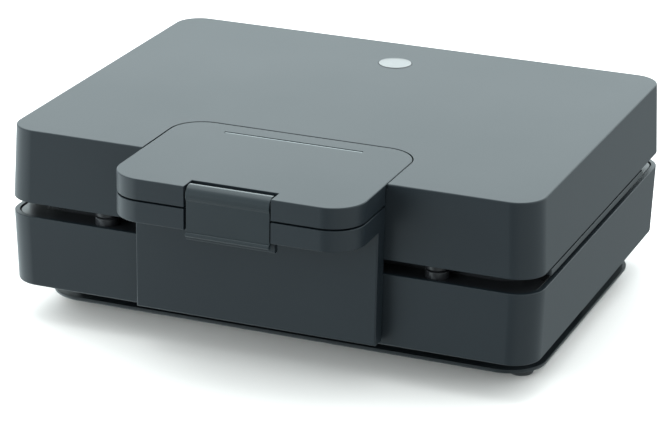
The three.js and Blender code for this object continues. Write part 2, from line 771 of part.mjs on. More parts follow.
const upperHandleCover = () => slab(
  handleOutline(handleWall + fitGap, handleRear - handleWall - fitGap, 0),
  upperHandleBottom + fitGap, upperHandleBottom + coverThickness)
  .subtract(notchCutter(notchHalf + handleWall + fitGap, notchBack + handleWall + fitGap,
    upperHandleBottom - cut, top));

const upperHandleScrew = (x, y) => {
  const seat = recessUnderside - fitGap;
  return turned([
    [0, seat - screwHeadHeight], [handleScrewHead, seat - screwHeadHeight],
    [handleScrewHead, seat], [screwRadius, seat], [screwRadius, top - 2 * cut],
    [0, top - 2 * cut]], x, y, smallFacets);
};

const indicatorLens = () => box(-lensLength / 2, lensLength / 2,
  lensY - lensWidth / 2, lensY + lensWidth / 2, recessTop + fitGap, top);

const indicatorBoard = () => box(-boardWidth / 2, boardWidth / 2,
  lensY - boardDepth / 2, lensY + boardDepth / 2, boardTop - boardThickness, boardTop);

const led = (x) => {
  const tip = recessUnderside - ledTipGap;
  return turned([
    [0, boardTop + fitGap], [ledRadius, boardTop + fitGap], [ledRadius, tip - ledDome],
    [ledRadius / 2, tip - ledDome / 4], [0, tip]], x, lensY, smallFacets);
};

const badge = () => rod(0, backRim - badgeBackInset, badgeRadius,
  top + badgeProud - badgeThickness, top + badgeProud, showFacets);

// Rail under each side of the lid that closes most of the gap beside the plates.
const sideRail = (side) => {
  const railTop = upperRim - railDrop;
  const outer = sideRim - railSideInset;
  const inner = outer - railThickness;
  const [y0, y1] = [frontRim + railFrontInset, backRim - railBackInset];
  const span = (a, b) => (side > 0 ? [a, b] : [-b, -a]);
  const [x0, x1] = span(inner, outer);
  let rail = box(x0, x1, y0, y1, railTop - railHeight, railTop);
  const [t0, t1] = span(inner - cut, sideRim - wall - plateEdgeGap - fitGap);
  for (const y of [y0, (y0 + y1 - railTabLength) / 2, y1 - railTabLength]) {
    rail = rail.add(box(t0, t1, y, y + railTabLength, railTop - cut, railTop + railTabHeight));
  }
  return rail;
};

// Latch clip: a barrel on the pin, a plate down the front and a bead along its lower edge.
const latchClip = () => {
  const half = latchWidth / 2;
  const front = latchPinY - latchBarrelRadius;
  const beadZ = top - latchLength + latchBead;
  const beadY = front + latchBead - fitGap;
  const plateShape = [
    [front, beadZ], [front + latchPlate, beadZ], [front + latchPlate, latchPinZ],
    [front, latchPinZ]];
  return rodAlongX(-half, half, latchPinY, latchPinZ, latchBarrelRadius, showFacets)
    .add(profileAlongX(plateShape, -half, half))
    .add(rodAlongX(-half, half, beadY, beadZ, latchBead))
    .subtract(rodAlongX(-half - cut, half + cut, latchPinY, latchPinZ,
      latchPinRadius + pinGap));
};

const latchPin = () => rodAlongX(-notchHalf - latchPinSeat, notchHalf + latchPinSeat,
  latchPinY, latchPinZ, latchPinRadius);

// Electrical pieces under the lower plate
// Where four cups meet, counted in columns and rows from the front left corner of the land.
const betweenCups = (column, row) => [
  (column - cupColumns / 2) * landWidth / cupColumns, (row - cupRows / 2) * landDepth / cupRows];

const thermostat = () => {
  const bottom = thermostatTop - thermostatHeight;
  return turned([
    [0, bottom], [thermostatNeck, bottom], [thermostatRadius, bottom + thermostatShoulder],
    [thermostatRadius, thermostatTop], [0, thermostatTop],
  ], ...betweenCups(middleColumn, middleRow));
};

const thermalFuse = () => {
  const [x, y] = betweenCups(middleColumn - 1, middleRow);
  return rodAlongX(x - fuseLength / 2, x + fuseLength / 2, y, thermostatTop - fuseRadius,
    fuseRadius);
};

const terminalBlock = () => {
  const [width, depth, height] = blockSize;
  const [x, y] = [blockX, backRim - blockBackInset];
  const bottom = housingFloor + fitGap;
  let block = box(x - width / 2, x + width / 2, y - depth / 2, y + depth / 2,
    bottom, bottom + height);
  for (const offset of [-1, 0, 1]) {
    block = block.subtract(rodAlongY(y - depth, y + depth, x + offset * blockBoreSpacing,
      bottom + height / 2, blockBoreRadius));
  }
  return block;
};

// Bush that the supply cord passes through at the back of the base.
const cordGland = () => {
  const z = lowerBottom + glandHeight;
  const outside = backRim - lowerDraft * (1 - glandHeight / lowerHeight) + fitGap;
  return rodAlongY(outside - glandLength, outside + cut, glandX, z, glandBody, roundFacets)
    .add(rodAlongY(outside, outside + glandLip, glandX, z, glandFlange, roundFacets))
    .subtract(rodAlongY(outside - glandLength - cut, outside + glandLip + cut, glandX, z,
      glandBore));
};

const hingePin = (side) => {
  const [a, b] = hingeSpans(side).pin;
  return rodAlongX(a, b, hingeY, hingeZ, hingePinRadius);
};

// Assembly
const assembly = new THREE.Group();
assembly.position.y = (handleReach + fitGap - hingeBehind - hingeBarrelRadius) / 2;

addPart(assembly, 'lower_housing', lowerHousing(), casing());
addPart(assembly, 'bottom_cover', bottomCover(), darkPlastic());
for (const [name, x, y] of feetPlaces()) addPart(assembly, name, foot(x, y), rubber());
coverScrewPlaces().forEach(([x, y], i) =>
  addPart(assembly, `cover_screw_${i + 1}`, coverScrew(x, y), steel()));
addPart(assembly, 'lower_handle', lowerHandle(), casing());
addPart(assembly, 'lower_handle_cover', lowerHandleCover(), casing());
for (const [name, side] of sides) {
  addPart(assembly, `lower_handle_screw_${name}`, lowerHandleScrew(side * handleScrewX), steel());
  addPart(assembly, `hinge_pin_${name}`, hingePin(side), steel());
  addPart(assembly, `side_rail_${name}`, sideRail(side), darkPlastic());
}
addPart(assembly, 'thermostat', thermostat(), darkPlastic());
addPart(assembly, 'thermal_fuse', thermalFuse(), aluminium());
addPart(assembly, 'terminal_block', terminalBlock(), finish(0xd8d4c8, 0.6, 0));
addPart(assembly, 'cord_gland', cordGland(), rubber());

addPart(assembly, 'upper_housing', upperHousing(), casing());
addPart(assembly, 'upper_handle', upperHandle(), casing());
addPart(assembly, 'upper_handle_cover', upperHandleCover(), casing());
for (const [name, x, y] of handleBossPlaces()) {
  addPart(assembly, `upper_handle_screw_${name}`, upperHandleScrew(x, y), steel());
}
addPart(assembly, 'badge', badge(), finish(0xc9cbcc, 0.35, 1));
addPart(assembly, 'indicator_lens', indicatorLens(), finish(0xdfe3e4, 0.2, 0));
addPart(assembly, 'indicator_board', indicatorBoard(), finish(0x2c5a3a, 0.6, 0));
addPart(assembly, 'power_led', led(-ledSpacing / 2), finish(0xc03a2e, 0.3, 0));
addPart(assembly, 'ready_led', led(ledSpacing / 2), finish(0x3fa05a, 0.3, 0));
addPart(assembly, 'latch_pin', latchPin(), steel());
addPart(assembly, 'latch_clip', latchClip(), casing());

// The cooking set is the same in both halves; the lid's is turned over about Y.
const lowerSet = new THREE.Group();
lowerSet.position.z = lowerPlateFace;
addCookingSet(lowerSet, 'lower');
assembly.add(lowerSet);

const upperSet = new THREE.Group();
upperSet.position.z = upperPlateFace;
upperSet.rotation.y = Math.PI;
addCookingSet(upperSet, 'upper');
assembly.add(upperSet);

const group = new THREE.Group();
group.add(assembly);

export default group;
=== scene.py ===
import math

import bmesh
import bpy
from mathutils import Matrix, Vector


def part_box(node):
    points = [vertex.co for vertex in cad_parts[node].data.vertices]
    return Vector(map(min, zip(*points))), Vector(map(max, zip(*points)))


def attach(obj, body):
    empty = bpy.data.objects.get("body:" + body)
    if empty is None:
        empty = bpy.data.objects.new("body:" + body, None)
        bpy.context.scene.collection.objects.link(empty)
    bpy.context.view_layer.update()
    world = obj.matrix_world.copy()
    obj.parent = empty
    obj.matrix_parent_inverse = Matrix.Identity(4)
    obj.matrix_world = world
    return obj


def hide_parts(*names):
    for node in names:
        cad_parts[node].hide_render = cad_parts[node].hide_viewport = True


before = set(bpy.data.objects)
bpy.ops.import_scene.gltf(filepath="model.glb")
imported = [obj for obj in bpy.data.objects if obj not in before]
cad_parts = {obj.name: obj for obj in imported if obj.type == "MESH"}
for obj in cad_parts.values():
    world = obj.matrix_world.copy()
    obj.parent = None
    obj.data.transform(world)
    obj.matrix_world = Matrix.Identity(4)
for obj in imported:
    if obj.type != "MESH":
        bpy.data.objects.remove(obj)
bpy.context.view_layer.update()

# ---- Table, light and camera -------------------------------------------------------------------
# The donut maker stands on a plain white table in a bright, slightly cool room, under a soft light.
# A broad one behind only shines on the lid, and a low one in front only lifts the shadow. The
# table stays out of the reflections; the lower half of the room, dim ahead, takes its place.
mm = 0.001

room_tint = (0.87, 1.0, 1.03, 1)
room_strength = 2.1
low_left = 2.6
low_middle = 0.18
low_right = 0.90


def add_node(tree, kind, **settings):
    """A node whose named settings are properties, or values of its inputs."""
    node = tree.nodes.new(kind)
    for label, value in settings.items():
        if hasattr(node, label):
            setattr(node, label, value)
        else:
            node.inputs[label.replace("_", " ")].default_value = value
    return node


def wire(tree, *links):
    """Joins an output of one node to an input of another, once for each link."""
    for source, output, target, entry in links:
        tree.links.new(source.outputs[output], target.inputs[entry])


world = bpy.data.worlds.new("white_room")
world.use_nodes = True
room = world.node_tree
room_shader = room.nodes["Background"]
room_shader.inputs["Color"].default_value = room_tint
room_way = add_node(room, "ShaderNodeTexCoord")
room_axes = add_node(room, "ShaderNodeSeparateXYZ")
room_low = add_node(room, "ShaderNodeMapRange", From_Min=-0.6, From_Max=-0.25,
                    To_Min=low_left, To_Max=low_middle)
room_right = add_node(room, "ShaderNodeMapRange", From_Min=0.0, From_Max=0.35,
                      To_Max=low_right - low_middle)
room_rise = add_node(room, "ShaderNodeMapRange", From_Min=-0.15, From_Max=0.05)
room_behind = add_node(room, "ShaderNodeMapRange", From_Min=-0.7, From_Max=-0.1, To_Min=0.2)
room_sides = add_node(room, "ShaderNodeMath", operation="ADD")
room_bright = add_node(room, "ShaderNodeMath", operation="MULTIPLY")
room_mix = add_node(room, "ShaderNodeMix", B=room_strength)
wire(room, (room_way, "Generated", room_axes, "Vector"),
     (room_axes, "X", room_low, "Value"), (room_axes, "X", room_right, "Value"),
     (room_axes, "Z", room_rise, "Value"), (room_axes, "Y", room_behind, "Value"),
     (room_rise, "Result", room_bright, 0), (room_behind, "Result", room_bright, 1),
     (room_low, "Result", room_sides, 0), (room_right, "Result", room_sides, 1),
     (room_bright, "Value", room_mix, "Factor"), (room_sides, "Value", room_mix, "A"),
     (room_mix, "Result", room_shader, "Strength"))
bpy.context.scene.world = world
bpy.context.scene.view_settings.view_transform = "Standard"

bpy.ops.object.select_all(action="DESELECT")
bpy.ops.mesh.primitive_plane_add(size=14, location=(0, 0, 0))
table = bpy.context.object
table.name = "table"
table_finish = bpy.data.materials.new("white_table")
table_finish.use_nodes = True
table_tree = table_finish.node_tree
table_shader = table_tree.nodes["Principled BSDF"]
table_shader.inputs["Specular IOR Level"].default_value = 0.2
table_place = add_node(table_tree, "ShaderNodeTexCoord")
table_cloud = add_node(table_tree, "ShaderNodeTexNoise", Scale=3.0)
table_tone = add_node(table_tree, "ShaderNodeValToRGB")
table_tone.color_ramp.elements[0].color = (0.97, 0.875, 0.840, 1)
table_tone.color_ramp.elements[1].color = (0.99, 0.905, 0.870, 1)
table_rough = add_node(table_tree, "ShaderNodeMapRange", To_Min=0.55, To_Max=0.7)
wire(table_tree, (table_place, "Object", table_cloud, "Vector"),
     (table_cloud, "Fac", table_tone, "Fac"), (table_cloud, "Fac", table_rough, "Value"),
     (table_tone, "Color", table_shader, "Base Color"),
     (table_rough, "Result", table_shader, "Roughness"))
table.data.materials.append(table_finish)
table.visible_glossy = False


def soft_light(name, place, aim, width, height, power, fills=True, shines=True):
    """A rectangular light that faces aim, unseen, and can be kept out of fill or of reflections."""
    lamp = bpy.data.lights.new(name, "AREA")
    lamp.shape = "RECTANGLE"
    lamp.size, lamp.size_y = width, height
    lamp.energy = power
    lamp.color = (0.87, 1.0, 1.02)
    holder = bpy.data.objects.new(name, lamp)
    bpy.context.scene.collection.objects.link(holder)
    holder.location = place
    holder.rotation_euler = (Vector(aim) - Vector(place)).to_track_quat("-Z", "Y").to_euler()
    holder.visible_camera = False
    holder.visible_diffuse = fills
    holder.visible_glossy = shines


soft_light("back_light", (-0.5, 2.4, 1.1), (0, 0, 0.1), 3.6, 1.5, 17, fills=False)
soft_light("top_light", (-0.3, 0.4, 2.3), (0, 0, 0), 2.4, 2.0, 22)
soft_light("table_light", (-1.6, -1.8, 0.55), (-0.1, -0.1, 0), 2.4, 0.9, 42, shines=False)

view_turn = math.radians(21.51)
view_tilt = math.radians(20.45)
view_roll = math.radians(0.96)
camera_data = bpy.data.cameras.new("camera")
camera_data.sensor_width = 36
camera_data.lens = 152.4
camera_data.shift_x = 0.0011
camera_data.shift_y = 0.0015
camera = bpy.data.objects.new("camera", camera_data)
bpy.context.scene.collection.objects.link(camera)
camera.matrix_world = (
    Matrix.Translation((0.59376, -1.5019, 0.65741))
    @ Matrix.Rotation(view_turn, 4, "Z")
    @ Matrix.Rotation(math.pi / 2 - view_tilt, 4, "X")
    @ Matrix.Rotation(view_roll, 4, "Z"))
bpy.context.scene.camera = camera

# ---- Lower housing -----------------------------------------------------------------------------
# The base shell is one injection moulding in satin anthracite plastic, drafted so that it leaves
# its mould, with a fine spark-eroded grain. Four posts inside carry the plate, and two pairs of
# lugs at the back carry the hinge pins.
housing_low, housing_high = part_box("lower_housing")
side = housing_high.x
front = housing_low.y
depth = 255 * mm
back = front + depth
middle = front + depth / 2
lower_under = housing_low.z
lower_rim = lower_under + 44 * mm
corner = 17 * mm
wall = 3 * mm
lower_draft = 1.3 * mm
rim_softness = 0.5 * mm
foot_softness = 1.4 * mm
floor_thick = 2.5 * mm
casing_colour = (0.0065, 0.0095, 0.0125, 1)
casing_pale = (0.0075, 0.0110, 0.0140, 1)
past = 1 * mm                   # how far a cutter runs past a face, or a post into its wall
slight = 0.1 * mm               # leeway where edges are told apart by their place


def leave_edit():
    """Goes back to object mode with nothing selected."""
    if bpy.context.mode != "OBJECT":
        bpy.ops.object.mode_set(mode="OBJECT")
    bpy.ops.object.select_all(action="DESELECT")


def block(name, low, high):
    """A cube primitive at its size and place, from corner low to corner high."""
    low, high = Vector(low), Vector(high)
    leave_edit()
    bpy.ops.mesh.primitive_cube_add(size=1, location=(low + high) / 2, scale=high - low)
    piece = bpy.context.object
    piece.name = name
    bpy.ops.object.transform_apply(location=True, rotation=True, scale=True)
    return piece


def rod(name, ends, radius, sides=48):
    """A cylinder primitive from one end point to the other."""
    start, end = Vector(ends[0]), Vector(ends[1])
    leave_edit()
    turn = (end - start).to_track_quat("Z", "Y").to_euler()
    bpy.ops.mesh.primitive_cylinder_add(
        vertices=sides, radius=radius, depth=(end - start).length,
        location=(start + end) / 2, rotation=turn)
    piece = bpy.context.object
    piece.name = name
    bpy.ops.object.transform_apply(location=True, rotation=True, scale=True)
    return piece


def pick(piece, kind, wanted):
    """Goes into edit mode with only the wanted vertices, edges or faces selected."""
    leave_edit()
    piece.select_set(True)
    bpy.context.view_layer.objects.active = piece
    bpy.ops.object.mode_set(mode="EDIT")
    bpy.ops.mesh.select_mode(type=kind)
    bpy.ops.mesh.select_all(action="DESELECT")
    shape = bmesh.from_edit_mesh(piece.data)
    for part in {"VERT": shape.verts, "EDGE": shape.edges, "FACE": shape.faces}[kind]:
        if wanted(part):
            part.select_set(True)
    shape.select_flush_mode()
    bmesh.update_edit_mesh(piece.data)


def near(a, b):
    return abs(a - b) < 0.02 * mm


def upright(edge):
    """True for an edge that runs straight up."""
    a, b = (v.co for v in edge.verts)
    return near(a.x, b.x) and near(a.y, b.y)


def across_x(edge):
    """True for an edge in a plane that faces left or right, such as the rim of a rod's end."""
    return near(edge.verts[0].co.x, edge.verts[1].co.x)


def anywhere(part):
    return True


def level_at(z):
    """A test for edges that lie at the height z."""
    return lambda edge: all(near(v.co.z, z) for v in edge.verts)


def round_off(radius, segments):
    bpy.ops.mesh.bevel(offset=radius, segments=segments, affect="EDGES", clamp_overlap=False)


def combine(piece, tool, operation):
    """Joins tool to piece, or cuts it out of piece, and removes tool."""
    leave_edit()
    change = piece.modifiers.new(operation, "BOOLEAN")
    change.object = tool
    change.operation = operation
    change.solver = "EXACT"
    bpy.context.view_layer.objects.active = piece
    bpy.ops.object.modifier_apply(modifier=change.name)
    bpy.data.objects.remove(tool)


def soften(piece, radius, segments=2, sharpest=40):
    """Rounds every edge sharper than the given angle, then evens out the shading."""
    leave_edit()
    if radius > 0:
        edge_round = piece.modifiers.new("edges", "BEVEL")
        edge_round.width = radius
        edge_round.segments = segments
        edge_round.limit_method = "ANGLE"
        edge_round.angle_limit = math.radians(sharpest)
        edge_round.use_clamp_overlap = True
        edge_round.miter_outer = "MITER_ARC"
    piece.select_set(True)
    bpy.context.view_layer.objects.active = piece
    if radius > 0:
        bpy.ops.object.modifier_apply(modifier="edges")
    bpy.ops.object.shade_smooth_by_angle(angle=math.radians(sharpest))
    piece.modifiers.new("shading", "WEIGHTED_NORMAL").keep_sharp = True
    bpy.ops.object.modifier_apply(modifier="shading")


def tub(name, low, high, open_z, closed_z, shrink, open_round, closed_round, floor_wall):
    """A rounded tray between open_z, its rim, and closed_z, where it is narrower by shrink."""
    piece = block(name, (low.x, low.y, min(open_z, closed_z)), (high.x, high.y, max(open_z, closed_z)))
    pick(piece, "EDGE", upright)
    round_off(corner, 14)
    size = high - low
    pick(piece, "VERT", lambda v: near(v.co.z, closed_z))
    bpy.ops.transform.resize(
        value=(1 - 2 * shrink[0] / size.x, 1 - 2 * shrink[1] / size.y, 1),
        center_override=((low.x + high.x) / 2, (low.y + high.y) / 2, closed_z))
    pick(piece, "EDGE", level_at(closed_z))
    round_off(closed_round, 4)
    pick(piece, "EDGE", level_at(open_z))
    round_off(open_round, 3)
    out = 1 if open_z > closed_z else -1
    pick(piece, "FACE", lambda f: f.normal.z * out > 0.99 and near(f.calc_center_median().z, open_z))
    bpy.ops.mesh.inset(thickness=wall - open_round)
    bpy.ops.mesh.extrude_region_move(
        TRANSFORM_OT_translate={"value": (0, 0, closed_z - open_z + out * floor_wall)})
    bpy.ops.transform.resize(
        value=(1 - 2 * shrink[0] / size.x, 1 - 2 * shrink[1] / size.y, 1),
        center_override=((low.x + high.x) / 2, (low.y + high.y) / 2, closed_z))
    leave_edit()
    return piece


lower_housing = tub("lower_housing_shell", Vector((-side, front, 0)), Vector((side, back, 0)),
                    lower_rim, lower_under, (lower_draft, lower_draft),
                    rim_softness, foot_softness, floor_thick)


def middle_of(node):
    """The middle of a CAD node's box."""
    node_low, node_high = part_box(node)
    return (node_low + node_high) / 2


def trim(piece, start, end):
    """Cuts away all that lies left of the (y, z) line from start to end, seen from the right."""
    across = Vector((0, start[1] - end[1], end[0] - start[0])).normalized()
    pick(piece, "FACE", anywhere)
    bpy.ops.mesh.bisect(plane_co=(0, start[0], start[1]), plane_no=across, threshold=0.01 * mm,
                        use_fill=True, clear_outer=True)
    leave_edit()


hinge_low, hinge_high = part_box("hinge_pin_right")
hinge_y = (hinge_low.y + hinge_high.y) / 2
hinge_z = (hinge_low.z + hinge_high.z) / 2
hinge_radius = 6 * mm
lug_width = 8 * mm
lug_drop = 22 * mm
pin_bore = 2.8 * mm
eye_edge = 0.5 * mm
web_inset = 0.3 * mm
rim_clearance = 0.3 * mm


def hinge_leaf(x0, x1, web_low, web_high, cuts):
    """A leaf from x0 to x1: a round eye on the hinge axis, with a web that runs into the wall."""
    leaf = rod("leaf", ((x0, hinge_y, hinge_z), (x1, hinge_y, hinge_z)), hinge_radius)
    pick(leaf, "EDGE", across_x)
    round_off(eye_edge, 2)
    web = block("web", (x0 + web_inset, *web_low), (x1 - web_inset, *web_high))
    for start, end in cuts:
        trim(web, start, end)
    combine(leaf, web, "UNION")
    return leaf


wall_inside = back - 1 * mm
eye_back = hinge_y + hinge_radius * 0.99
eye_front = hinge_y - hinge_radius * 0.99
lug_cuts = [((eye_back, hinge_z - hinge_radius), (wall_inside, lower_rim - lug_drop)),
            ((wall_inside, lower_rim - rim_clearance), (eye_front, hinge_z))]
for turn in (-1, 1):
    for inner_edge in (hinge_low.x, hinge_high.x - lug_width):
        x0 = inner_edge if turn > 0 else -inner_edge - lug_width
        lug = hinge_leaf(x0, x0 + lug_width, (wall_inside, lower_rim - lug_drop - 2 * past),
                         (eye_back, hinge_z), lug_cuts)
        combine(lower_housing, lug, "UNION")
    combine(lower_housing, rod("bore", ((turn * (hinge_low.x - 5 * past), hinge_y, hinge_z),
                                        (turn * (hinge_high.x + 5 * past), hinge_y, hinge_z)),
                               pin_bore), "DIFFERENCE")

post_radius = 4 * mm
screw_bore = 1.9 * mm
plate_bore_depth = 17 * mm
cover_boss_height = 8 * mm
handle_bore_depth = 6 * mm
lower_floor = lower_under + floor_thick
plate_drop = 0.6 * mm           # the plate's face below the rim
plate_to_post = 3.3 * mm
plate_face_low = lower_rim - plate_drop
plate_post_top = plate_face_low - plate_to_post
plate_screws = [f"{end}_{hand}" for end in ("front", "back") for hand in ("left", "right")]


def add_post(piece, spot, z0, z1, radius=post_radius, sides=24):
    """Joins an upright post to piece, from z0 to z1."""
    combine(piece, rod("post", ((spot.x, spot.y, z0), (spot.x, spot.y, z1)), radius, sides), "UNION")


def drill(piece, spot, z0, z1, radius=screw_bore, sides=24):
    """Drills an upright hole out of piece, from z0 to z1."""
    combine(piece, rod("bore", ((spot.x, spot.y, z0), (spot.x, spot.y, z1)), radius, sides),
            "DIFFERENCE")


def drill_back(piece, spot, y0, y1, radius=screw_bore, sides=24):
    """Drills a hole out of piece that runs straight back, from y0 to y1."""
    combine(piece, rod("bore", ((spot.x, y0, spot.z), (spot.x, y1, spot.z)), radius, sides),
            "DIFFERENCE")


for place in plate_screws:
    spot = middle_of(f"lower_plate_screw_{place}")
    add_post(lower_housing, spot, lower_floor - past, plate_post_top)
    drill(lower_housing, spot, plate_post_top - plate_bore_depth, lower_rim)
for number in (1, 2, 3, 4):
    spot = middle_of(f"cover_screw_{number}")
    boss_top = lower_floor + cover_boss_height
    add_post(lower_housing, spot, lower_floor - past, boss_top)
    drill(lower_housing, spot, lower_under - past, boss_top - past)
for hand in ("left", "right"):
    drill_back(lower_housing, middle_of(f"lower_handle_screw_{hand}"), front - past,
               front + handle_bore_depth)
gland_middle = middle_of("cord_gland")
outlet_radius = 5.8 * mm
outlet_reach = 9 * mm
drill_back(lower_housing, gland_middle, back - outlet_reach, back + past, outlet_radius, 48)
soften(lower_housing, 0)


def new_group(name, inputs, outputs):
    """A node group with named sockets, and its input and output nodes."""
    group = bpy.data.node_groups.new(name, "ShaderNodeTree")
    for label, kind, value in inputs:
        group.interface.new_socket(label, in_out="INPUT", socket_type=kind).default_value = value
    for label, kind in outputs:
        group.interface.new_socket(label, in_out="OUTPUT", socket_type=kind)
    return group, group.nodes.new("NodeGroupInput"), group.nodes.new("NodeGroupOutput")


# Spark-eroded grain: fine pits for the bump, and slow clouds for colour and gloss.
grain_group, grain_in, grain_out = new_group(
    "spark_grain", [("Pits", "NodeSocketFloat", 2200.0), ("Clouds", "NodeSocketFloat", 14.0)],
    [("Height", "NodeSocketFloat"), ("Cloud", "NodeSocketFloat")])
grain_place = add_node(grain_group, "ShaderNodeTexCoord")
grain_pits = add_node(grain_group, "ShaderNodeTexNoise", Detail=2.0, Roughness=0.6)
grain_cloud = add_node(grain_group, "ShaderNodeTexNoise", Detail=3.0, Roughness=0.55)
wire(grain_group, (grain_place, "Object", grain_pits, "Vector"),
     (grain_place, "Object", grain_cloud, "Vector"), (grain_in, "Pits", grain_pits, "Scale"),
     (grain_in, "Clouds", grain_cloud, "Scale"), (grain_pits, "Fac", grain_out, "Height"),
     (grain_cloud, "Fac", grain_out, "Cloud"))

# Edge wear: pale where the surface turns sharply, broken up by a little noise.
wear_group, wear_in, wear_out = new_group(
    "edge_wear", [("Width", "NodeSocketFloat", 0.0006), ("Amount", "NodeSocketFloat", 0.5)],
    [("Mask", "NodeSocketFloat")])
wear_place = add_node(wear_group, "ShaderNodeTexCoord")
wear_patch = add_node(wear_group, "ShaderNodeTexNoise", Scale=160.0, Detail=2.0)
wear_round = add_node(wear_group, "ShaderNodeBevel", samples=4)
wear_flat = add_node(wear_group, "ShaderNodeNewGeometry")
wear_dot = add_node(wear_group, "ShaderNodeVectorMath", operation="DOT_PRODUCT")
wear_turn = add_node(wear_group, "ShaderNodeMapRange", From_Min=0.995, From_Max=0.85,
                     To_Min=0.0, To_Max=1.0)
wear_break = add_node(wear_group, "ShaderNodeMath", operation="MULTIPLY")
wear_amount = add_node(wear_group, "ShaderNodeMath", operation="MULTIPLY")
wire(wear_group, (wear_in, "Width", wear_round, "Radius"), (wear_round, "Normal", wear_dot, 0),
     (wear_flat, "Normal", wear_dot, 1), (wear_dot, "Value", wear_turn, "Value"),
     (wear_place, "Object", wear_patch, "Vector"), (wear_turn, "Result", wear_break, 0),
     (wear_patch, "Fac", wear_break, 1), (wear_break, "Value", wear_amount, 0),
     (wear_in, "Amount", wear_amount, 1), (wear_amount, "Value", wear_out, "Mask"))


def worn_surface(name, colour, pale, dull, bright, pits, clouds, pit_depth, wear, **shader_values):
    """A material whose colour drifts from colour to pale, with roughness from dull to bright."""
    material = bpy.data.materials.new(name)
    material.use_nodes = True
    tree = material.node_tree
    shader = tree.nodes["Principled BSDF"]
    for label, value in shader_values.items():
        shader.inputs[label.replace("_", " ")].default_value = value
    grain = add_node(tree, "ShaderNodeGroup", node_tree=grain_group)
    grain.inputs["Pits"].default_value = pits
    grain.inputs["Clouds"].default_value = clouds
    edges = add_node(tree, "ShaderNodeGroup", node_tree=wear_group)
    edges.inputs["Amount"].default_value = wear
    drift = add_node(tree, "ShaderNodeMix", data_type="RGBA")
    drift.inputs["A"].default_value = colour
    drift.inputs["B"].default_value = pale
    drift_more = add_node(tree, "ShaderNodeMapRange", From_Min=0.35, From_Max=0.65)
    rub = add_node(tree, "ShaderNodeMix", data_type="RGBA")
    rub.inputs["B"].default_value = [min(1, 2.2 * c + 0.01) for c in pale[:3]] + [1]
    gloss = add_node(tree, "ShaderNodeMapRange", From_Min=0.3, From_Max=0.7, To_Min=dull, To_Max=bright)
    bump = add_node(tree, "ShaderNodeBump", Strength=0.5, Distance=pit_depth)
    wire(tree, (grain, "Cloud", drift_more, "Value"), (drift_more, "Result", drift, "Factor"),
         (drift, "Result", rub, "A"), (edges, "Mask", rub, "Factor"),
         (rub, "Result", shader, "Base Color"), (grain, "Cloud", gloss, "Value"),
         (gloss, "Result", shader, "Roughness"), (grain, "Height", bump, "Height"),
         (bump, "Normal", shader, "Normal"))
    return material


casing = worn_surface("anthracite_casing", casing_colour, casing_pale, 0.42, 0.44, 2200.0, 9.0,
                      0.03 * mm, 0.35, Specular_IOR_Level=0.3)
lower_housing.data.materials.append(casing)
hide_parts("lower_housing")
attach(lower_housing, "base")

# ---- Bottom cover ------------------------------------------------------------------------------
# A charcoal moulding screwed under the base. The supply cord winds round its neck, between the
# housing and a flange with big round corners, and is held by small tabs at the sides.
cover_low, cover_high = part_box("bottom_cover")
flange_top = cover_low.z + 3 * mm
flange_corner = 24 * mm
flange_under_round = 2.2 * mm
flange_top_round = 0.4 * mm
neck_inset = 17 * mm
neck_side = cover_high.x - neck_inset
neck_front = cover_low.y + neck_inset
neck_back = cover_high.y - neck_inset
wide_side = cover_high.x - 3.5 * mm
wide_front = neck_back - 84 * mm
neck_wall = 2.5 * mm
tab_thick = 2 * mm
tab_height = 6 * mm
front_tab = cover_low.y + 30 * mm
back_tab = wide_front - 4 * mm
cover_edge = 0.3 * mm
head_seat = 3.7 * mm
head_seat_depth = 1.9 * mm
stem_hole = 3.3 * mm
stem_hole_depth = 2.3 * mm
charcoal = (0.008, 0.010, 0.012, 1)
charcoal_pale = (0.011, 0.014, 0.016, 1)

bottom_cover = block("bottom_cover_moulding", cover_low, (cover_high.x, cover_high.y, flange_top))
pick(bottom_cover, "EDGE", upright)
round_off(flange_corner, 16)
pick(bottom_cover, "EDGE", level_at(cover_low.z))
round_off(flange_under_round, 6)
pick(bottom_cover, "EDGE", level_at(flange_top))
round_off(flange_top_round, 2)
leave_edit()
for inset, operation, z0 in ((0, "UNION", flange_top - 0.5 * mm), (neck_wall, "DIFFERENCE", flange_top)):
    neck_top = cover_high.z + (past if inset else 0)
    neck = block("neck", (-neck_side + inset, neck_front + inset, z0),
                 (neck_side - inset, neck_back - inset, neck_top))
    wide = block("wide", (-wide_side + inset, wide_front + inset, z0),
                 (wide_side - inset, neck_back - inset, neck_top + 0.01 * mm))
    combine(neck, wide, "UNION")
    combine(bottom_cover, neck, operation)
for turn in (-1, 1):
    for tab_y in (front_tab, back_tab):
        x0, x1 = sorted((turn * (neck_side - past), turn * wide_side))
        combine(bottom_cover, block("tab", (x0, tab_y, cover_high.z - tab_height),
                                    (x1, tab_y + tab_thick, cover_high.z)), "UNION")
for number in (1, 2, 3, 4):
    spot = middle_of(f"cover_screw_{number}")
    add_post(bottom_cover, spot, flange_top - past, cover_high.z)
    drill(bottom_cover, spot, cover_low.z - past, cover_high.z + past)
    drill(bottom_cover, spot, cover_low.z - past, cover_low.z + head_seat_depth, head_seat, 32)
foot_names = [f"foot_{end}_{hand}" for end in ("front", "back") for hand in ("left", "right")]
for name in foot_names:
    drill(bottom_cover, middle_of(name), cover_low.z - past, cover_low.z + stem_hole_depth,
          stem_hole, 32)
soften(bottom_cover, cover_edge)
charcoal_plastic = worn_surface("charcoal_plastic", charcoal, charcoal_pale, 0.42, 0.5, 1800.0, 20.0,
                                0.03 * mm, 0.3, Specular_IOR_Level=0.25)
bottom_cover.data.materials.append(charcoal_plastic)
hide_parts("bottom_cover")
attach(bottom_cover, "base")

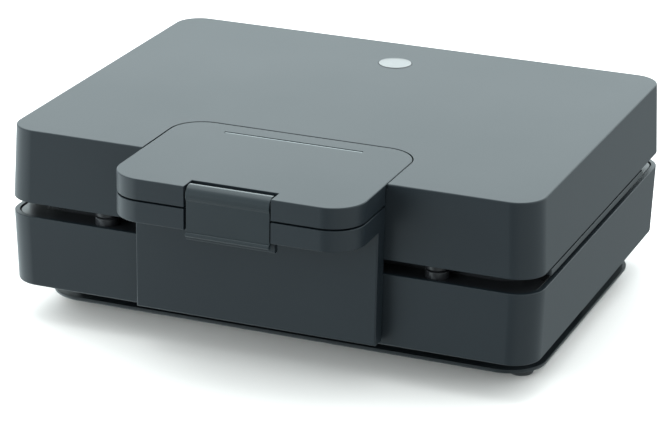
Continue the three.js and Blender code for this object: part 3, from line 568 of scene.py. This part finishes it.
# ---- Feet --------------------------------------------------------------------------------------
# Four moulded rubber feet with a rounded sole and a stem pressed into the flange, each with a
# shallow dish underneath.
foot_low, foot_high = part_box(foot_names[0])
foot_radius = (foot_high.x - foot_low.x) / 2
foot_shoulder = 5.7 * mm
sole_round = 1.2 * mm
shoulder_round = 0.4 * mm
sole_ring = 2.6 * mm
dish = 0.6 * mm
stem_radius = 3 * mm
stem_height = 2 * mm
first_spot = middle_of(foot_names[0])
first_foot = rod("rubber_foot_front_left", ((first_spot.x, first_spot.y, 0),
                                            (first_spot.x, first_spot.y, foot_shoulder)), foot_radius)
pick(first_foot, "EDGE", level_at(0))
round_off(sole_round, 4)
pick(first_foot, "EDGE", level_at(foot_shoulder))
round_off(shoulder_round, 2)
pick(first_foot, "FACE", lambda f: f.normal.z < -0.99)
bpy.ops.mesh.inset(thickness=sole_ring)
bpy.ops.mesh.inset(thickness=dish, depth=-dish)
pick(first_foot, "FACE", lambda f: f.normal.z > 0.99)
bpy.ops.mesh.inset(thickness=foot_radius - shoulder_round - stem_radius)
bpy.ops.mesh.extrude_region_move(TRANSFORM_OT_translate={"value": (0, 0, stem_height)})
leave_edit()
soften(first_foot, 0)
rubber = worn_surface("black_rubber", (0.012, 0.012, 0.013, 1), (0.022, 0.022, 0.023, 1), 0.72, 0.85,
                      1500.0, 60.0, 0.05 * mm, 0.5)
first_foot.data.materials.append(rubber)


def copy_of(piece, name, turned=(0, 0, 0), moved=(0, 0, 0), about=(0, 0, 0)):
    """A copy with its own mesh, turned about a point and then moved."""
    twin = piece.copy()
    twin.data = piece.data.copy()
    twin.name = name
    bpy.context.scene.collection.objects.link(twin)
    turn = Matrix.Rotation(turned[2], 4, "Z") @ Matrix.Rotation(turned[1], 4, "Y")
    centre = Matrix.Translation(about)
    twin.data.transform(Matrix.Translation(moved) @ centre @ turn @ centre.inverted())
    return twin


for name in foot_names:
    shift = middle_of(name) - first_spot
    foot = first_foot if name == foot_names[0] else copy_of(first_foot, f"rubber_{name}", moved=shift)
    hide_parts(name)
    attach(foot, "base")

# ---- Upper housing -----------------------------------------------------------------------------
# The lid shell, moulded like the base but turned over: its crisp top edge is the narrow end. A
# shallow recess at the front takes the handle's inlay, and a barrel at each end of the back wall
# turns on the hinge pins.
rim_gap = 8.6 * mm
lid_rim = lower_rim + rim_gap
lid_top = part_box("upper_housing")[1].z
top_wall = 3 * mm
top_edge = 0.8 * mm
lid_draft = (2.1 * mm, 0.95 * mm)
upper_housing = tub("upper_housing_shell", Vector((-side, front, 0)), Vector((side, back, 0)),
                    lid_rim, lid_top, lid_draft, rim_softness, top_edge, top_wall)

handle_low, handle_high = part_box("upper_handle")
inlay_gap = 0.6 * mm
inlay_corner = 20 * mm
inlay_depth = 3.3 * mm
recess_floor = 2.5 * mm
recess_edge = 0.15 * mm
recess_side = handle_high.x + inlay_gap
recess_back = handle_high.y + inlay_gap
recess_z = lid_top - inlay_depth
under_z = recess_z - recess_floor
combine(upper_housing, block("recess_back", (-recess_side - wall, front + wall, under_z),
                             (recess_side + wall, recess_back + wall, lid_top - past)), "UNION")
recess = block("recess", (-recess_side, front - 9 * mm, recess_z),
               (recess_side, recess_back, lid_top + past))
pick(recess, "EDGE", lambda e: upright(e) and e.verts[0].co.y > front)
round_off(inlay_corner + inlay_gap, 18)
combine(upper_housing, recess, "DIFFERENCE")
pick(upper_housing, "EDGE", lambda e: level_at(lid_top)(e) and all(
    abs(v.co.x) < recess_side + slight and v.co.y < recess_back + slight for v in e.verts)
    and len(e.link_faces) == 2 and e.calc_face_angle() > 1)
round_off(recess_edge, 2)

lid_web_rise = 20 * mm
web_start = back - 1.5 * mm
barrel_cuts = [((eye_front, hinge_z), (web_start, lid_rim + rim_clearance)),
               ((web_start, lid_rim + lid_web_rise), (eye_back, hinge_z + hinge_radius))]
barrel_play = 0.4 * mm
barrel_in = hinge_low.x + lug_width + barrel_play
barrel_out = hinge_high.x - lug_width - barrel_play
for turn in (-1, 1):
    x0, x1 = sorted((turn * barrel_in, turn * barrel_out))
    barrel = hinge_leaf(x0, x1, (web_start, hinge_z),
                        (eye_back, lid_rim + lid_web_rise + 2 * past), barrel_cuts)
    combine(upper_housing, barrel, "UNION")
    combine(upper_housing, rod("bore", ((x0 - past, hinge_y, hinge_z), (x1 + past, hinge_y, hinge_z)),
                               pin_bore), "DIFFERENCE")
lid_post_foot = lid_rim + plate_drop + plate_to_post
for place in plate_screws:
    spot = middle_of(f"upper_plate_screw_{place}")
    add_post(upper_housing, spot, lid_post_foot, lid_top - 2 * past)
    drill(upper_housing, spot, lid_rim, lid_post_foot + plate_bore_depth)
badge_low, badge_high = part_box("badge")
badge_middle = middle_of("badge")
badge_radius = (badge_high.x - badge_low.x) / 2
badge_play = 0.3 * mm
drill(upper_housing, badge_middle, badge_low.z - badge_play, lid_top + past,
      badge_radius + badge_play, 96)
lens_low, lens_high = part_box("indicator_lens")
lens_margin = 0.7 * mm
combine(upper_housing, block("lens_slot", (lens_low.x, lens_low.y - lens_margin, under_z - past),
                             (lens_high.x, lens_high.y + lens_margin, recess_z + past)), "DIFFERENCE")
boss_hole = 3.7 * mm
for hand in ("left", "right"):
    drill(upper_housing, middle_of(f"upper_handle_screw_{hand}"), under_z - past, recess_z + past,
          boss_hole, 32)
board_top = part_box("indicator_board")[1].z
board_post_side = 38 * mm
board_post_behind = 6 * mm      # behind the lens
board_post_radius = 2.6 * mm
board_play = 0.3 * mm
for turn in (-1, 1):
    spot = Vector((turn * board_post_side, (lens_low.y + lens_high.y) / 2 + board_post_behind, 0))
    add_post(upper_housing, spot, board_top + board_play, under_z + past, board_post_radius)
soften(upper_housing, 0)
upper_housing.data.materials.append(casing)
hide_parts("upper_housing")
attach(upper_housing, "lid")

# ---- Upper handle half -------------------------------------------------------------------------
# One moulding in the casing plastic: a thin inlay lies flush in the lid's top and runs forward
# into a hollow grip. A notch in the grip's front edge holds the latch, and a slot holds the lens.
grip_back = front - 0.5 * mm
inlay_under = handle_high.z - 3 * mm
grip_wall = 2.5 * mm
grip_edge = 0.7 * mm
grip_under_edge = 0.6 * mm
notch_edge = 0.25 * mm
upper_handle = block("upper_handle_moulding", (handle_low.x, handle_low.y, inlay_under), handle_high)
pick(upper_handle, "EDGE", upright)
round_off(inlay_corner, 18)
pick(upper_handle, "FACE", anywhere)
bpy.ops.mesh.bisect(plane_co=(0, grip_back, 0), plane_no=(0, 1, 0))
pick(upper_handle, "FACE", lambda f: f.normal.z < -0.99 and f.calc_center_median().y < grip_back)
bpy.ops.mesh.extrude_region_move(
    TRANSFORM_OT_translate={"value": (0, 0, handle_low.z - inlay_under)})
pick(upper_handle, "EDGE", level_at(handle_high.z))
round_off(grip_edge, 3)
pick(upper_handle, "EDGE", level_at(handle_low.z))
round_off(grip_under_edge, 2)

latch_low, latch_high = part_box("latch_clip")
latch_gap = 1 * mm
notch_side = latch_high.x + latch_gap
latch_pin = middle_of("latch_pin")
barrel_radius = 5.6 * mm
notch_back = latch_pin.y + barrel_radius + 0.4 * mm


def grip_pocket(inset, back_edge, notch_depth, z0, z1):
    """The hollow inside a handle half, with a wall left round the latch notch."""
    pocket = block("pocket", (handle_low.x + inset, handle_low.y + inset, z0),
                   (handle_high.x - inset, back_edge, z1))
    pick(pocket, "EDGE", lambda e: upright(e) and e.verts[0].co.y < handle_low.y + 2 * inset)
    round_off(inlay_corner - inset, 14)
    notch = block("notch", (-notch_side - inset, handle_low.y - past, z0 - past),
                  (notch_side + inset, notch_depth + inset, z1 + past))
    combine(pocket, notch, "DIFFERENCE")
    return pocket


combine(upper_handle, grip_pocket(grip_wall, grip_back - grip_wall, notch_back,
                                  handle_low.z - past, inlay_under), "DIFFERENCE")
combine(upper_handle, block("notch", (-notch_side, handle_low.y - 2 * past, handle_low.z - past),
                            (notch_side, notch_back, handle_high.z + past)), "DIFFERENCE")
pick(upper_handle, "EDGE", lambda e: all(
    abs(v.co.x) < notch_side + slight and v.co.y < notch_back + slight
    and v.co.z > handle_high.z - grip_edge - slight for v in e.verts)
    and len(e.link_faces) == 2 and e.calc_face_angle() > 1)
round_off(notch_edge, 2)
pin_hole = 1.9 * mm
pin_hole_end = notch_side + 2.7 * mm
combine(upper_handle, rod("pin_hole", ((-pin_hole_end, latch_pin.y, latch_pin.z),
                                       (pin_hole_end, latch_pin.y, latch_pin.z)), pin_hole, 32),
        "DIFFERENCE")
lens_play = 0.3 * mm
combine(upper_handle, block("lens_slot", (lens_low.x - lens_play, lens_low.y - lens_play,
                                          inlay_under - past),
                            (lens_high.x + lens_play, lens_high.y + 2 * lens_play, lid_top + past)),
        "DIFFERENCE")
grip_boss = 3.4 * mm
boss_play = 0.3 * mm
for hand in ("left", "right"):
    spot = middle_of(f"upper_handle_screw_{hand}")
    add_post(upper_handle, spot, under_z + boss_play, inlay_under + past, grip_boss, 32)
    drill(upper_handle, spot, under_z, lid_top - past)
soften(upper_handle, 0)
upper_handle.data.materials.append(casing)
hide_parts("upper_handle")
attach(upper_handle, "lid")

# ---- Lower handle half and apron ---------------------------------------------------------------
# A second casing moulding, screwed to the base from inside: a flat apron rises in front of the gap
# and carries a hollow shelf under the grip, with a seat and a catch bar for the latch.
shelf_low, shelf_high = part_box("lower_handle")
shelf_height = 12.6 * mm
shelf_under = shelf_high.z - shelf_height
apron_thick = 10 * mm
apron_front = front - apron_thick
apron_edge = 1.0 * mm
shelf_under_edge = 0.9 * mm
shelf_top_edge = 0.5 * mm
apron_side = 74.3 * mm
seat_back = handle_low.y + 4.6 * mm
lower_handle = block("lower_handle_moulding", (shelf_low.x, shelf_low.y, shelf_under), shelf_high)
pick(lower_handle, "EDGE", lambda e: upright(e) and e.verts[0].co.y < front - 20 * mm)
round_off(inlay_corner, 18)
pick(lower_handle, "FACE", anywhere)
bpy.ops.mesh.bisect(plane_co=(0, apron_front, 0), plane_no=(0, 1, 0))
pick(lower_handle, "FACE", lambda f: f.normal.z < -0.99 and f.calc_center_median().y > apron_front)
bpy.ops.mesh.extrude_region_move(
    TRANSFORM_OT_translate={"value": (0, 0, shelf_low.z - shelf_under)})
pick(lower_handle, "VERT", lambda v: v.co.z < shelf_under - 1 * mm)
bpy.ops.transform.resize(value=(apron_side / shelf_high.x, 1, 1), center_override=(0, 0, 0))
pick(lower_handle, "EDGE", lambda e: (level_at(shelf_low.z)(e) or (
    abs(e.verts[0].co.z - e.verts[1].co.z) > 30 * mm and max(v.co.y for v in e.verts) < front - 5 * mm))
    and max(v.co.y for v in e.verts) < shelf_high.y - slight)
round_off(apron_edge, 4)
pick(lower_handle, "EDGE", lambda e: level_at(shelf_under)(e) and
     max(v.co.y for v in e.verts) < apron_front + slight and
     min(v.co.y for v in e.verts) < apron_front - slight)
round_off(shelf_under_edge, 3)
pick(lower_handle, "EDGE", lambda e: level_at(shelf_high.z)(e) and
     min(v.co.y for v in e.verts) < shelf_high.y - slight)
round_off(shelf_top_edge, 3)

combine(lower_handle, grip_pocket(grip_wall, apron_front, seat_back, shelf_under + grip_wall,
                                  shelf_high.z + past), "DIFFERENCE")
combine(lower_handle, block("seat", (-notch_side, handle_low.y - 2 * past, shelf_under - past),
                            (notch_side, seat_back, shelf_high.z + past)), "DIFFERENCE")
catch_drop = 7.2 * mm
catch_thick = 4 * mm
catch_edge = 1.2 * mm
catch_side = latch_high.x + 1.6 * mm
catch_bar = block("catch", (-catch_side, seat_back, shelf_under - catch_drop),
                  (catch_side, seat_back + catch_thick, shelf_under + past))
pick(catch_bar, "EDGE", lambda e: level_at(shelf_under - catch_drop)(e)
     and near(e.verts[0].co.y, e.verts[1].co.y))
round_off(catch_edge, 4)
combine(lower_handle, catch_bar, "UNION")
apron_wall = 3 * mm
combine(lower_handle, block("apron_hollow", (-apron_side + apron_wall, apron_front + apron_wall,
                                             shelf_low.z + apron_wall),
                            (apron_side - apron_wall, front + past, shelf_under - apron_wall)),
        "DIFFERENCE")
for hand in ("left", "right"):
    spot = middle_of(f"lower_handle_screw_{hand}")
    combine(lower_handle, rod("post", ((spot.x, apron_front + past, spot.z),
                                       (spot.x, shelf_high.y, spot.z)), post_radius, 24), "UNION")
    drill_back(lower_handle, spot, apron_front + apron_wall, front + past)
soften(lower_handle, 0)
lower_handle.data.materials.append(casing)
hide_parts("lower_handle")
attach(lower_handle, "base")

# ---- Handle covers -----------------------------------------------------------------------------
# A flat charcoal moulding snaps into the open side of each handle half, a hair inside its walls,
# and leaves the latch notch free.
slack = 0.3 * mm
handle_cover_edge = 0.25 * mm
for half, back_edge, notch_depth, body in (("upper", grip_back - grip_wall, notch_back, "lid"),
                                           ("lower", apron_front, seat_back, "base")):
    cover_box_low, cover_box_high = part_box(f"{half}_handle_cover")
    cover = grip_pocket(grip_wall + slack, back_edge - slack, notch_depth,
                        cover_box_low.z, cover_box_high.z)
    cover.name = f"{half}_handle_cover_plate"
    soften(cover, handle_cover_edge)
    cover.data.materials.append(charcoal_plastic)
    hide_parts(f"{half}_handle_cover")
    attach(cover, body)

# ---- Latch -------------------------------------------------------------------------------------
# The clip is one moulding, polished a little brighter than the casing: a barrel on its pin, and a
# strip that hangs from it, set back behind the barrel and the bead that a finger pulls.
plate_thick = 1.5 * mm
plate_set_back = 0.9 * mm
bead_radius = 1.6 * mm
latch_front = latch_pin.y - barrel_radius
bead_z = latch_low.z + bead_radius
latch_round = 0.3 * mm


def round_ends(piece):
    """Rounds the rims of the two ends that face left and right."""
    pick(piece, "EDGE", across_x)
    round_off(latch_round, 2)
    leave_edit()
    return piece


latch = round_ends(rod("latch_strip", ((latch_low.x, latch_pin.y, latch_pin.z),
                                       (latch_high.x, latch_pin.y, latch_pin.z)), barrel_radius, 72))
strip_front = latch_front + plate_set_back
combine(latch, round_ends(block("strip", (latch_low.x, strip_front, bead_z),
                                (latch_high.x, strip_front + plate_thick, latch_pin.z))), "UNION")
combine(latch, round_ends(rod("bead", ((latch_low.x, latch_low.y + bead_radius, bead_z),
                                       (latch_high.x, latch_low.y + bead_radius, bead_z)),
                              bead_radius, 32)), "UNION")
combine(latch, rod("bore", ((latch_low.x - past, latch_pin.y, latch_pin.z),
                            (latch_high.x + past, latch_pin.y, latch_pin.z)), pin_hole, 32),
        "DIFFERENCE")
soften(latch, 0)
latch_plastic = worn_surface("latch_plastic", (0.0075, 0.0110, 0.0135, 1), (0.0085, 0.0125, 0.0150, 1),
                             0.22, 0.26, 2600.0, 30.0, 0.02 * mm, 0.4, Specular_IOR_Level=0.35)
latch.data.materials.append(latch_plastic)
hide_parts("latch_clip")
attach(latch, "latch")

# ---- Latch and hinge pins ----------------------------------------------------------------------
# Zinc plated steel pins, cut from rod with their ends lightly chamfered: a thin one across the
# latch notch, pressed into the grip, and a thick one through the three leaves of each hinge.
zinc = worn_surface("zinc_plated_steel", (0.46, 0.47, 0.48, 1), (0.58, 0.58, 0.57, 1), 0.28, 0.42,
                    900.0, 90.0, 0.01 * mm, 0.2, Metallic=1.0)
pin_chamfer = 0.4 * mm
for node, body in (("latch_pin", "lid"), ("hinge_pin_left", "base"), ("hinge_pin_right", "base")):
    pin_low, pin_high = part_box(node)
    axis = (pin_low + pin_high) / 2
    pin = rod(f"{node}_turned", ((pin_low.x, axis.y, axis.z), (pin_high.x, axis.y, axis.z)),
              (pin_high.z - pin_low.z) / 2)
    pick(pin, "EDGE", across_x)
    round_off(pin_chamfer, 2)
    leave_edit()
    soften(pin, 0)
    pin.data.materials.append(zinc)
    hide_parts(node)
    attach(pin, body)

# ---- Cooking plates ----------------------------------------------------------------------------
# Two aluminium castings under a black non-stick coat. The middle is raised by four millimetres and
# holds twelve ring-shaped cups, and two round pads near the front corners keep the plates apart.
plate_low, plate_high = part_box("lower_plate")
plate_side = plate_high.x
plate_half_depth = (plate_high.y - plate_low.y) / 2
plate_thick = 3 * mm
plate_under = plate_face_low - plate_thick
plate_gap = 0.8 * mm            # between the plate and the housing's wall
plate_edge = 0.5 * mm
land_top = plate_face_low + 4 * mm
land_side = plate_side - 11 * mm
land_half_depth = plate_half_depth - 14.5 * mm
land_corner = 14 * mm
land_edge = 1.2 * mm
land_wall = 3 * mm
cup_ring = 21 * mm
cup_bow = 12 * mm
cup_wall = 2.5 * mm
cup_lip = 0.9 * mm
columns, rows = 4, 3
pad_radius = 7 * mm
pad_edge = 1.0 * mm
pad_spot = (side - 62 * mm, middle - plate_half_depth + pad_radius)


def rounded_slab(name, half_width, half_depth, z0, z1, radius):
    """A flat slab about the housings' middle with four rounded corners."""
    slab = block(name, (-half_width, middle - half_depth, z0), (half_width, middle + half_depth, z1))
    pick(slab, "EDGE", upright)
    round_off(radius, 12)
    leave_edit()
    return slab


cup_places = [((column - (columns - 1) / 2) * 2 * land_side / columns,
               middle + (row - (rows - 1) / 2) * 2 * land_half_depth / rows)
              for row in range(rows) for column in range(columns)]


def cup_rings(bow, z, top):
    """One torus for each cup, cut off flat at the height top if it is given, as one object."""
    leave_edit()
    bpy.ops.mesh.primitive_torus_add(
        location=(cup_places[0][0], cup_places[0][1], z), major_radius=cup_ring,
        minor_radius=bow, major_segments=56, minor_segments=28)
    ring = bpy.context.object
    bpy.ops.object.transform_apply(location=True, rotation=True, scale=True)
    if top is not None:
        pick(ring, "FACE", anywhere)
        bpy.ops.mesh.bisect(plane_co=(0, 0, top), plane_no=(0, 0, 1), use_fill=True, clear_outer=True)
        leave_edit()
    twins = [copy_of(ring, "ring", moved=(x - cup_places[0][0], y - cup_places[0][1], 0))
             for x, y in cup_places[1:]]
    for twin in [ring, *twins]:
        twin.select_set(True)
    bpy.context.view_layer.objects.active = ring
    bpy.ops.object.join()
    return ring


plate = rounded_slab("lower_cooking_plate", plate_side, plate_half_depth, plate_under,
                     plate_face_low, corner - wall - plate_gap)
pick(plate, "EDGE", level_at(plate_face_low))
round_off(plate_edge, 3)
land = rounded_slab("land", land_side, land_half_depth, plate_under, land_top, land_corner)
pick(land, "EDGE", level_at(land_top))
round_off(land_edge, 4)
combine(plate, land, "UNION")
combine(plate, rounded_slab("land_hollow", land_side - land_wall, land_half_depth - land_wall,
                            plate_under - past, land_top - land_wall, land_corner - land_wall),
        "DIFFERENCE")
combine(plate, cup_rings(cup_bow + cup_wall, land_top, land_top - 0.3 * mm), "UNION")
combine(plate, cup_rings(cup_bow, land_top, None), "DIFFERENCE")


def on_cup_lip(edge):
    """True for an edge of the circle where a cup meets the land, outside or round its post."""
    a, b = (v.co for v in edge.verts)
    if not (near(a.z, land_top) and near(b.z, land_top)):
        return False
    for x, y in cup_places:
        reach = [math.hypot(p.x - x, p.y - y) for p in (a, b)]
        for lip in (cup_ring - cup_bow, cup_ring + cup_bow):
            if all(abs(r - lip) < 0.3 * mm for r in reach):
                return True
    return False


pick(plate, "EDGE", on_cup_lip)
round_off(cup_lip, 4)
pad_top = plate_face_low + 4.75 * mm
for turn in (-1, 1):
    pad = rod("pad", ((turn * pad_spot[0], pad_spot[1], plate_face_low - past),
                      (turn * pad_spot[0], pad_spot[1], pad_top)), pad_radius)
    pick(pad, "EDGE", level_at(pad_top))
    round_off(pad_edge, 4)
    combine(plate, pad, "UNION")
screw_head = 3.4 * mm
screw_head_play = 0.3 * mm
screw_seat_depth = 1.9 * mm
for place in plate_screws:
    spot = middle_of(f"lower_plate_screw_{place}")
    drill(plate, spot, plate_under - past, plate_face_low + past, screw_bore, 32)
    drill(plate, spot, plate_face_low - screw_seat_depth, plate_face_low + past,
          screw_head + screw_head_play, 32)
soften(plate, 0, sharpest=35)
nonstick = worn_surface("black_nonstick", (0.010, 0.010, 0.011, 1), (0.016, 0.016, 0.018, 1), 0.26, 0.36,
                        1400.0, 40.0, 0.04 * mm, 0.25, Specular_IOR_Level=0.3)
plate.data.materials.append(nonstick)
turn_over = {"turned": (0, math.pi, 0), "about": (0, 0, hinge_z)}
upper_plate = copy_of(plate, "upper_cooking_plate", **turn_over)
for piece, node, body in ((plate, "lower_plate", "base"), (upper_plate, "upper_plate", "lid")):
    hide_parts(node)
    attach(piece, body)

# ---- Plate screws and cover screws -------------------------------------------------------------
# Zinc plated machine screws with a domed head and a cross recess, four in each plate and four in
# the bottom cover, each stopped at its own angle.
screw_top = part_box("lower_plate_screw_front_left")[1].z
screw_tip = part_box("lower_plate_screw_front_left")[0].z
first_screw_spot = middle_of("lower_plate_screw_front_left")
head_edge = 0.6 * mm
shank_radius = 1.6 * mm
tip_chamfer = 0.5 * mm
recess_arm = 1.9 * mm
recess_half = 0.35 * mm
recess_deep = 0.9 * mm
plate_head_height = 1.45 * mm
cover_head_height = 1.3 * mm


def cross_screw(name, x, y, top, tip, head_height):
    """A screw on an upright axis: domed head, cross recess, shank with a blunt point."""
    screw = rod(name, ((x, y, top - head_height), (x, y, top)), screw_head, 40)
    pick(screw, "EDGE", level_at(top))
    round_off(head_edge, 4)
    shank = rod("shank", ((x, y, tip), (x, y, top - 0.5 * head_height)), shank_radius, 24)
    pick(shank, "EDGE", level_at(tip))
    round_off(tip_chamfer, 2)
    combine(screw, shank, "UNION")
    for long_x, long_y in ((recess_arm, recess_half), (recess_half, recess_arm)):
        combine(screw, block("slot", (x - long_x, y - long_y, top - recess_deep),
                             (x + long_x, y + long_y, top + past)), "DIFFERENCE")
    soften(screw, 0)
    screw.data.materials.append(zinc)
    return screw


first_screw = cross_screw("lower_plate_screw_turned", first_screw_spot.x, first_screw_spot.y,
                          screw_top, screw_tip, plate_head_height)
screws = []
for number, place in enumerate(plate_screws):
    for half in ("lower", "upper"):
        node = f"{half}_plate_screw_{place}"
        spot = middle_of(node)
        screw = copy_of(first_screw, f"{node}_turned", turned=(0, 0, 0.7 * number + 0.3),
                        about=first_screw_spot)
        if half == "upper":
            screw.data.transform(Matrix.Translation((0, 0, 2 * hinge_z))
                                 @ Matrix.Rotation(math.pi, 4, "Y"))
        across = spot.x + first_screw_spot.x if half == "upper" else spot.x - first_screw_spot.x
        screw.data.transform(Matrix.Translation((across, spot.y - first_screw_spot.y, 0)))
        screws.append((screw, node, "base" if half == "lower" else "lid"))
bpy.data.objects.remove(first_screw)
cover_screw_low, cover_screw_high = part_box("cover_screw_1")
for number in (1, 2, 3, 4):
    spot = middle_of(f"cover_screw_{number}")
    screw = cross_screw("cover_screw", 0, 0, -cover_screw_low.z, -cover_screw_high.z,
                        cover_head_height)
    screw.data.transform(Matrix.Rotation(math.pi, 4, "Y"))
    screw.data.transform(Matrix.Translation((spot.x, spot.y, 0))
                         @ Matrix.Rotation(0.9 * number, 4, "Z"))
    screw.name = f"cover_screw_{number}_turned"
    screws.append((screw, f"cover_screw_{number}", "base"))
for screw, node, body in screws:
    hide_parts(node)
    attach(screw, body)

# ---- Side rails --------------------------------------------------------------------------------
# Charcoal strips that hang under the lid's rim along each side and close most of the gap beside
# the plates. Each is held by three small clips.
rail_thick = 3.4 * mm
rail_corner = 1.4 * mm
rail_edge = 0.5 * mm
rail_top_drop = 2.5 * mm        # the strip's top below the clips' tops
clip_length = 14 * mm
clip_inset = 3 * mm             # the clips behind the strip's outer face
for hand, turn in (("left", -1), ("right", 1)):
    rail_low, rail_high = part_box(f"side_rail_{hand}")
    bar_top = rail_high.z - rail_top_drop
    outer, clip_end = (rail_high.x, rail_low.x) if turn > 0 else (rail_low.x, rail_high.x)
    x0, x1 = sorted((outer, outer - turn * rail_thick))
    rail = block(f"side_rail_{hand}_strip", (x0, rail_low.y, rail_low.z), (x1, rail_high.y, bar_top))
    pick(rail, "EDGE", upright)
    round_off(rail_corner, 4)
    pick(rail, "EDGE", lambda e: level_at(rail_low.z)(e) or level_at(bar_top)(e))
    round_off(rail_edge, 3)
    x0, x1 = sorted((clip_end, outer - turn * clip_inset))
    for clip_y in (rail_low.y + rail_corner, (rail_low.y + rail_high.y - clip_length) / 2,
                   rail_high.y - clip_length - rail_corner):
        combine(rail, block("clip", (x0, clip_y, bar_top - past),
                            (x1, clip_y + clip_length, rail_high.z)), "UNION")
    soften(rail, 0)
    rail.data.materials.append(charcoal_plastic)
    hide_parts(f"side_rail_{hand}")
    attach(rail, "lid")

# ---- Badge -------------------------------------------------------------------------------------
# A stamped aluminium disc, brushed and clear anodised, pressed into a round seat near the back of
# the lid. It is left blank, with a narrow raised rim.
badge_edge = 0.25 * mm
badge_rim = 0.7 * mm
badge_dish = 0.12 * mm
badge_slope = 0.2 * mm
badge = rod("badge_disc", ((badge_middle.x, badge_middle.y, badge_low.z),
                           (badge_middle.x, badge_middle.y, badge_high.z)), badge_radius, 96)
pick(badge, "EDGE", level_at(badge_high.z))
round_off(badge_edge, 3)
pick(badge, "FACE", lambda f: f.normal.z > 0.99 and len(f.verts) > 20)
bpy.ops.mesh.inset(thickness=badge_rim)
bpy.ops.mesh.inset(thickness=badge_slope, depth=-badge_dish)
leave_edit()
soften(badge, 0)
badge_metal = worn_surface("anodised_aluminium", (0.205, 0.20, 0.197, 1), (0.225, 0.22, 0.217, 1),
                           0.36, 0.44, 1200.0, 200.0, 0.01 * mm, 0.2, Metallic=1.0)
badge.data.materials.append(badge_metal)
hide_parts("badge")
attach(badge, "lid")

# ---- Indicator ---------------------------------------------------------------------------------
# A slim bar of milky acrylic, just below the face of the inlay, carries the light of two lamps on
# a small board below it: one for power and one for ready.
lens_set_down = 0.25 * mm
lens_corner = 0.5 * mm
lens_edge = 0.15 * mm
lens = block("indicator_bar", lens_low, lens_high - Vector((0, 0, lens_set_down)))
pick(lens, "EDGE", upright)
round_off(lens_corner, 4)
pick(lens, "EDGE", level_at(lens_high.z - lens_set_down))
round_off(lens_edge, 2)
leave_edit()
soften(lens, 0)
milky = worn_surface("milky_acrylic", (0.15, 0.17, 0.17, 1), (0.18, 0.20, 0.20, 1), 0.25, 0.32,
                     1500.0, 60.0, 0.01 * mm, 0.0)
lens.data.materials.append(milky)
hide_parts("indicator_lens")
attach(lens, "lid")


def give_finish(node, material):
    """Puts a material on a CAD node whose shape stays."""
    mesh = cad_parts[node].data
    if not mesh.materials:
        mesh.materials.append(None)
    for index in range(len(mesh.materials)):
        mesh.materials[index] = material


board_green = worn_surface("board_resist", (0.010, 0.070, 0.025, 1), (0.016, 0.10, 0.035, 1), 0.3, 0.4,
                           900.0, 300.0, 0.02 * mm, 0.3)
give_finish("indicator_board", board_green)
for node, tint, bright_tint in (("power_led", (0.45, 0.03, 0.02, 1), (0.6, 0.05, 0.03, 1)),
                                ("ready_led", (0.03, 0.36, 0.09, 1), (0.05, 0.5, 0.14, 1))):
    give_finish(node, worn_surface(f"{node}_epoxy", tint, bright_tint, 0.12, 0.2, 1500.0, 200.0,
                                   0.01 * mm, 0.2, Transmission_Weight=0.3))

# ---- Cord gland --------------------------------------------------------------------------------
# A black rubber bush in the back wall of the base, with a round lip outside, that the supply cord
# passes through.
gland_low, gland_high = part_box("cord_gland")
gland_bore = 3.5 * mm
gland_neck = 5.5 * mm
gland_lip = (gland_high.x - gland_low.x) / 2
gland_lip_round = 0.9 * mm
gland_edge = 0.2 * mm
gland_step = gland_high.y - 2 * mm
gland = rod("gland_bush", ((gland_middle.x, gland_low.y, gland_middle.z),
                           (gland_middle.x, gland_step + 0.5 * past, gland_middle.z)), gland_neck, 64)
lip = rod("lip", ((gland_middle.x, gland_step, gland_middle.z),
                  (gland_middle.x, gland_high.y, gland_middle.z)), gland_lip, 64)
pick(lip, "EDGE", lambda e: all(near(v.co.y, gland_high.y) for v in e.verts))
round_off(gland_lip_round, 4)
combine(gland, lip, "UNION")
drill_back(gland, gland_middle, gland_low.y - past, gland_high.y + past, gland_bore, 64)
soften(gland, gland_edge)
gland.data.materials.append(rubber)
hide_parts("cord_gland")
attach(gland, "base")

# ---- Heating and wiring pieces inside ----------------------------------------------------------
# Hidden behind the plates: tubular elements with their straps, folded trays that throw the heat
# forward, a thermostat, a thermal fuse, a terminal block and the screws of the handle halves.
sheath = worn_surface("oxidised_sheath", (0.16, 0.15, 0.14, 1), (0.26, 0.22, 0.18, 1), 0.35, 0.5,
                      1200.0, 70.0, 0.02 * mm, 0.2, Metallic=1.0)
tray_sheet = worn_surface("aluminised_sheet", (0.62, 0.63, 0.64, 1), (0.70, 0.71, 0.72, 1), 0.24, 0.36,
                          800.0, 30.0, 0.02 * mm, 0.2, Metallic=1.0)
bakelite = worn_surface("brown_bakelite", (0.035, 0.018, 0.010, 1), (0.05, 0.027, 0.016, 1), 0.35, 0.45,
                        1400.0, 80.0, 0.03 * mm, 0.3)
glazed = worn_surface("glazed_ceramic", (0.60, 0.57, 0.50, 1), (0.68, 0.65, 0.58, 1), 0.15, 0.25,
                      1000.0, 50.0, 0.02 * mm, 0.2)
for half in ("lower", "upper"):
    give_finish(f"{half}_heating_element", sheath)
    give_finish(f"{half}_reflector", tray_sheet)
    for hand in ("left", "right"):
        give_finish(f"{half}_element_clamp_{hand}", zinc)
        give_finish(f"{half}_handle_screw_{hand}", zinc)
give_finish("thermostat", bakelite)
give_finish("thermal_fuse", tray_sheet)
give_finish("terminal_block", glazed)

bpy.context.view_layer.update()
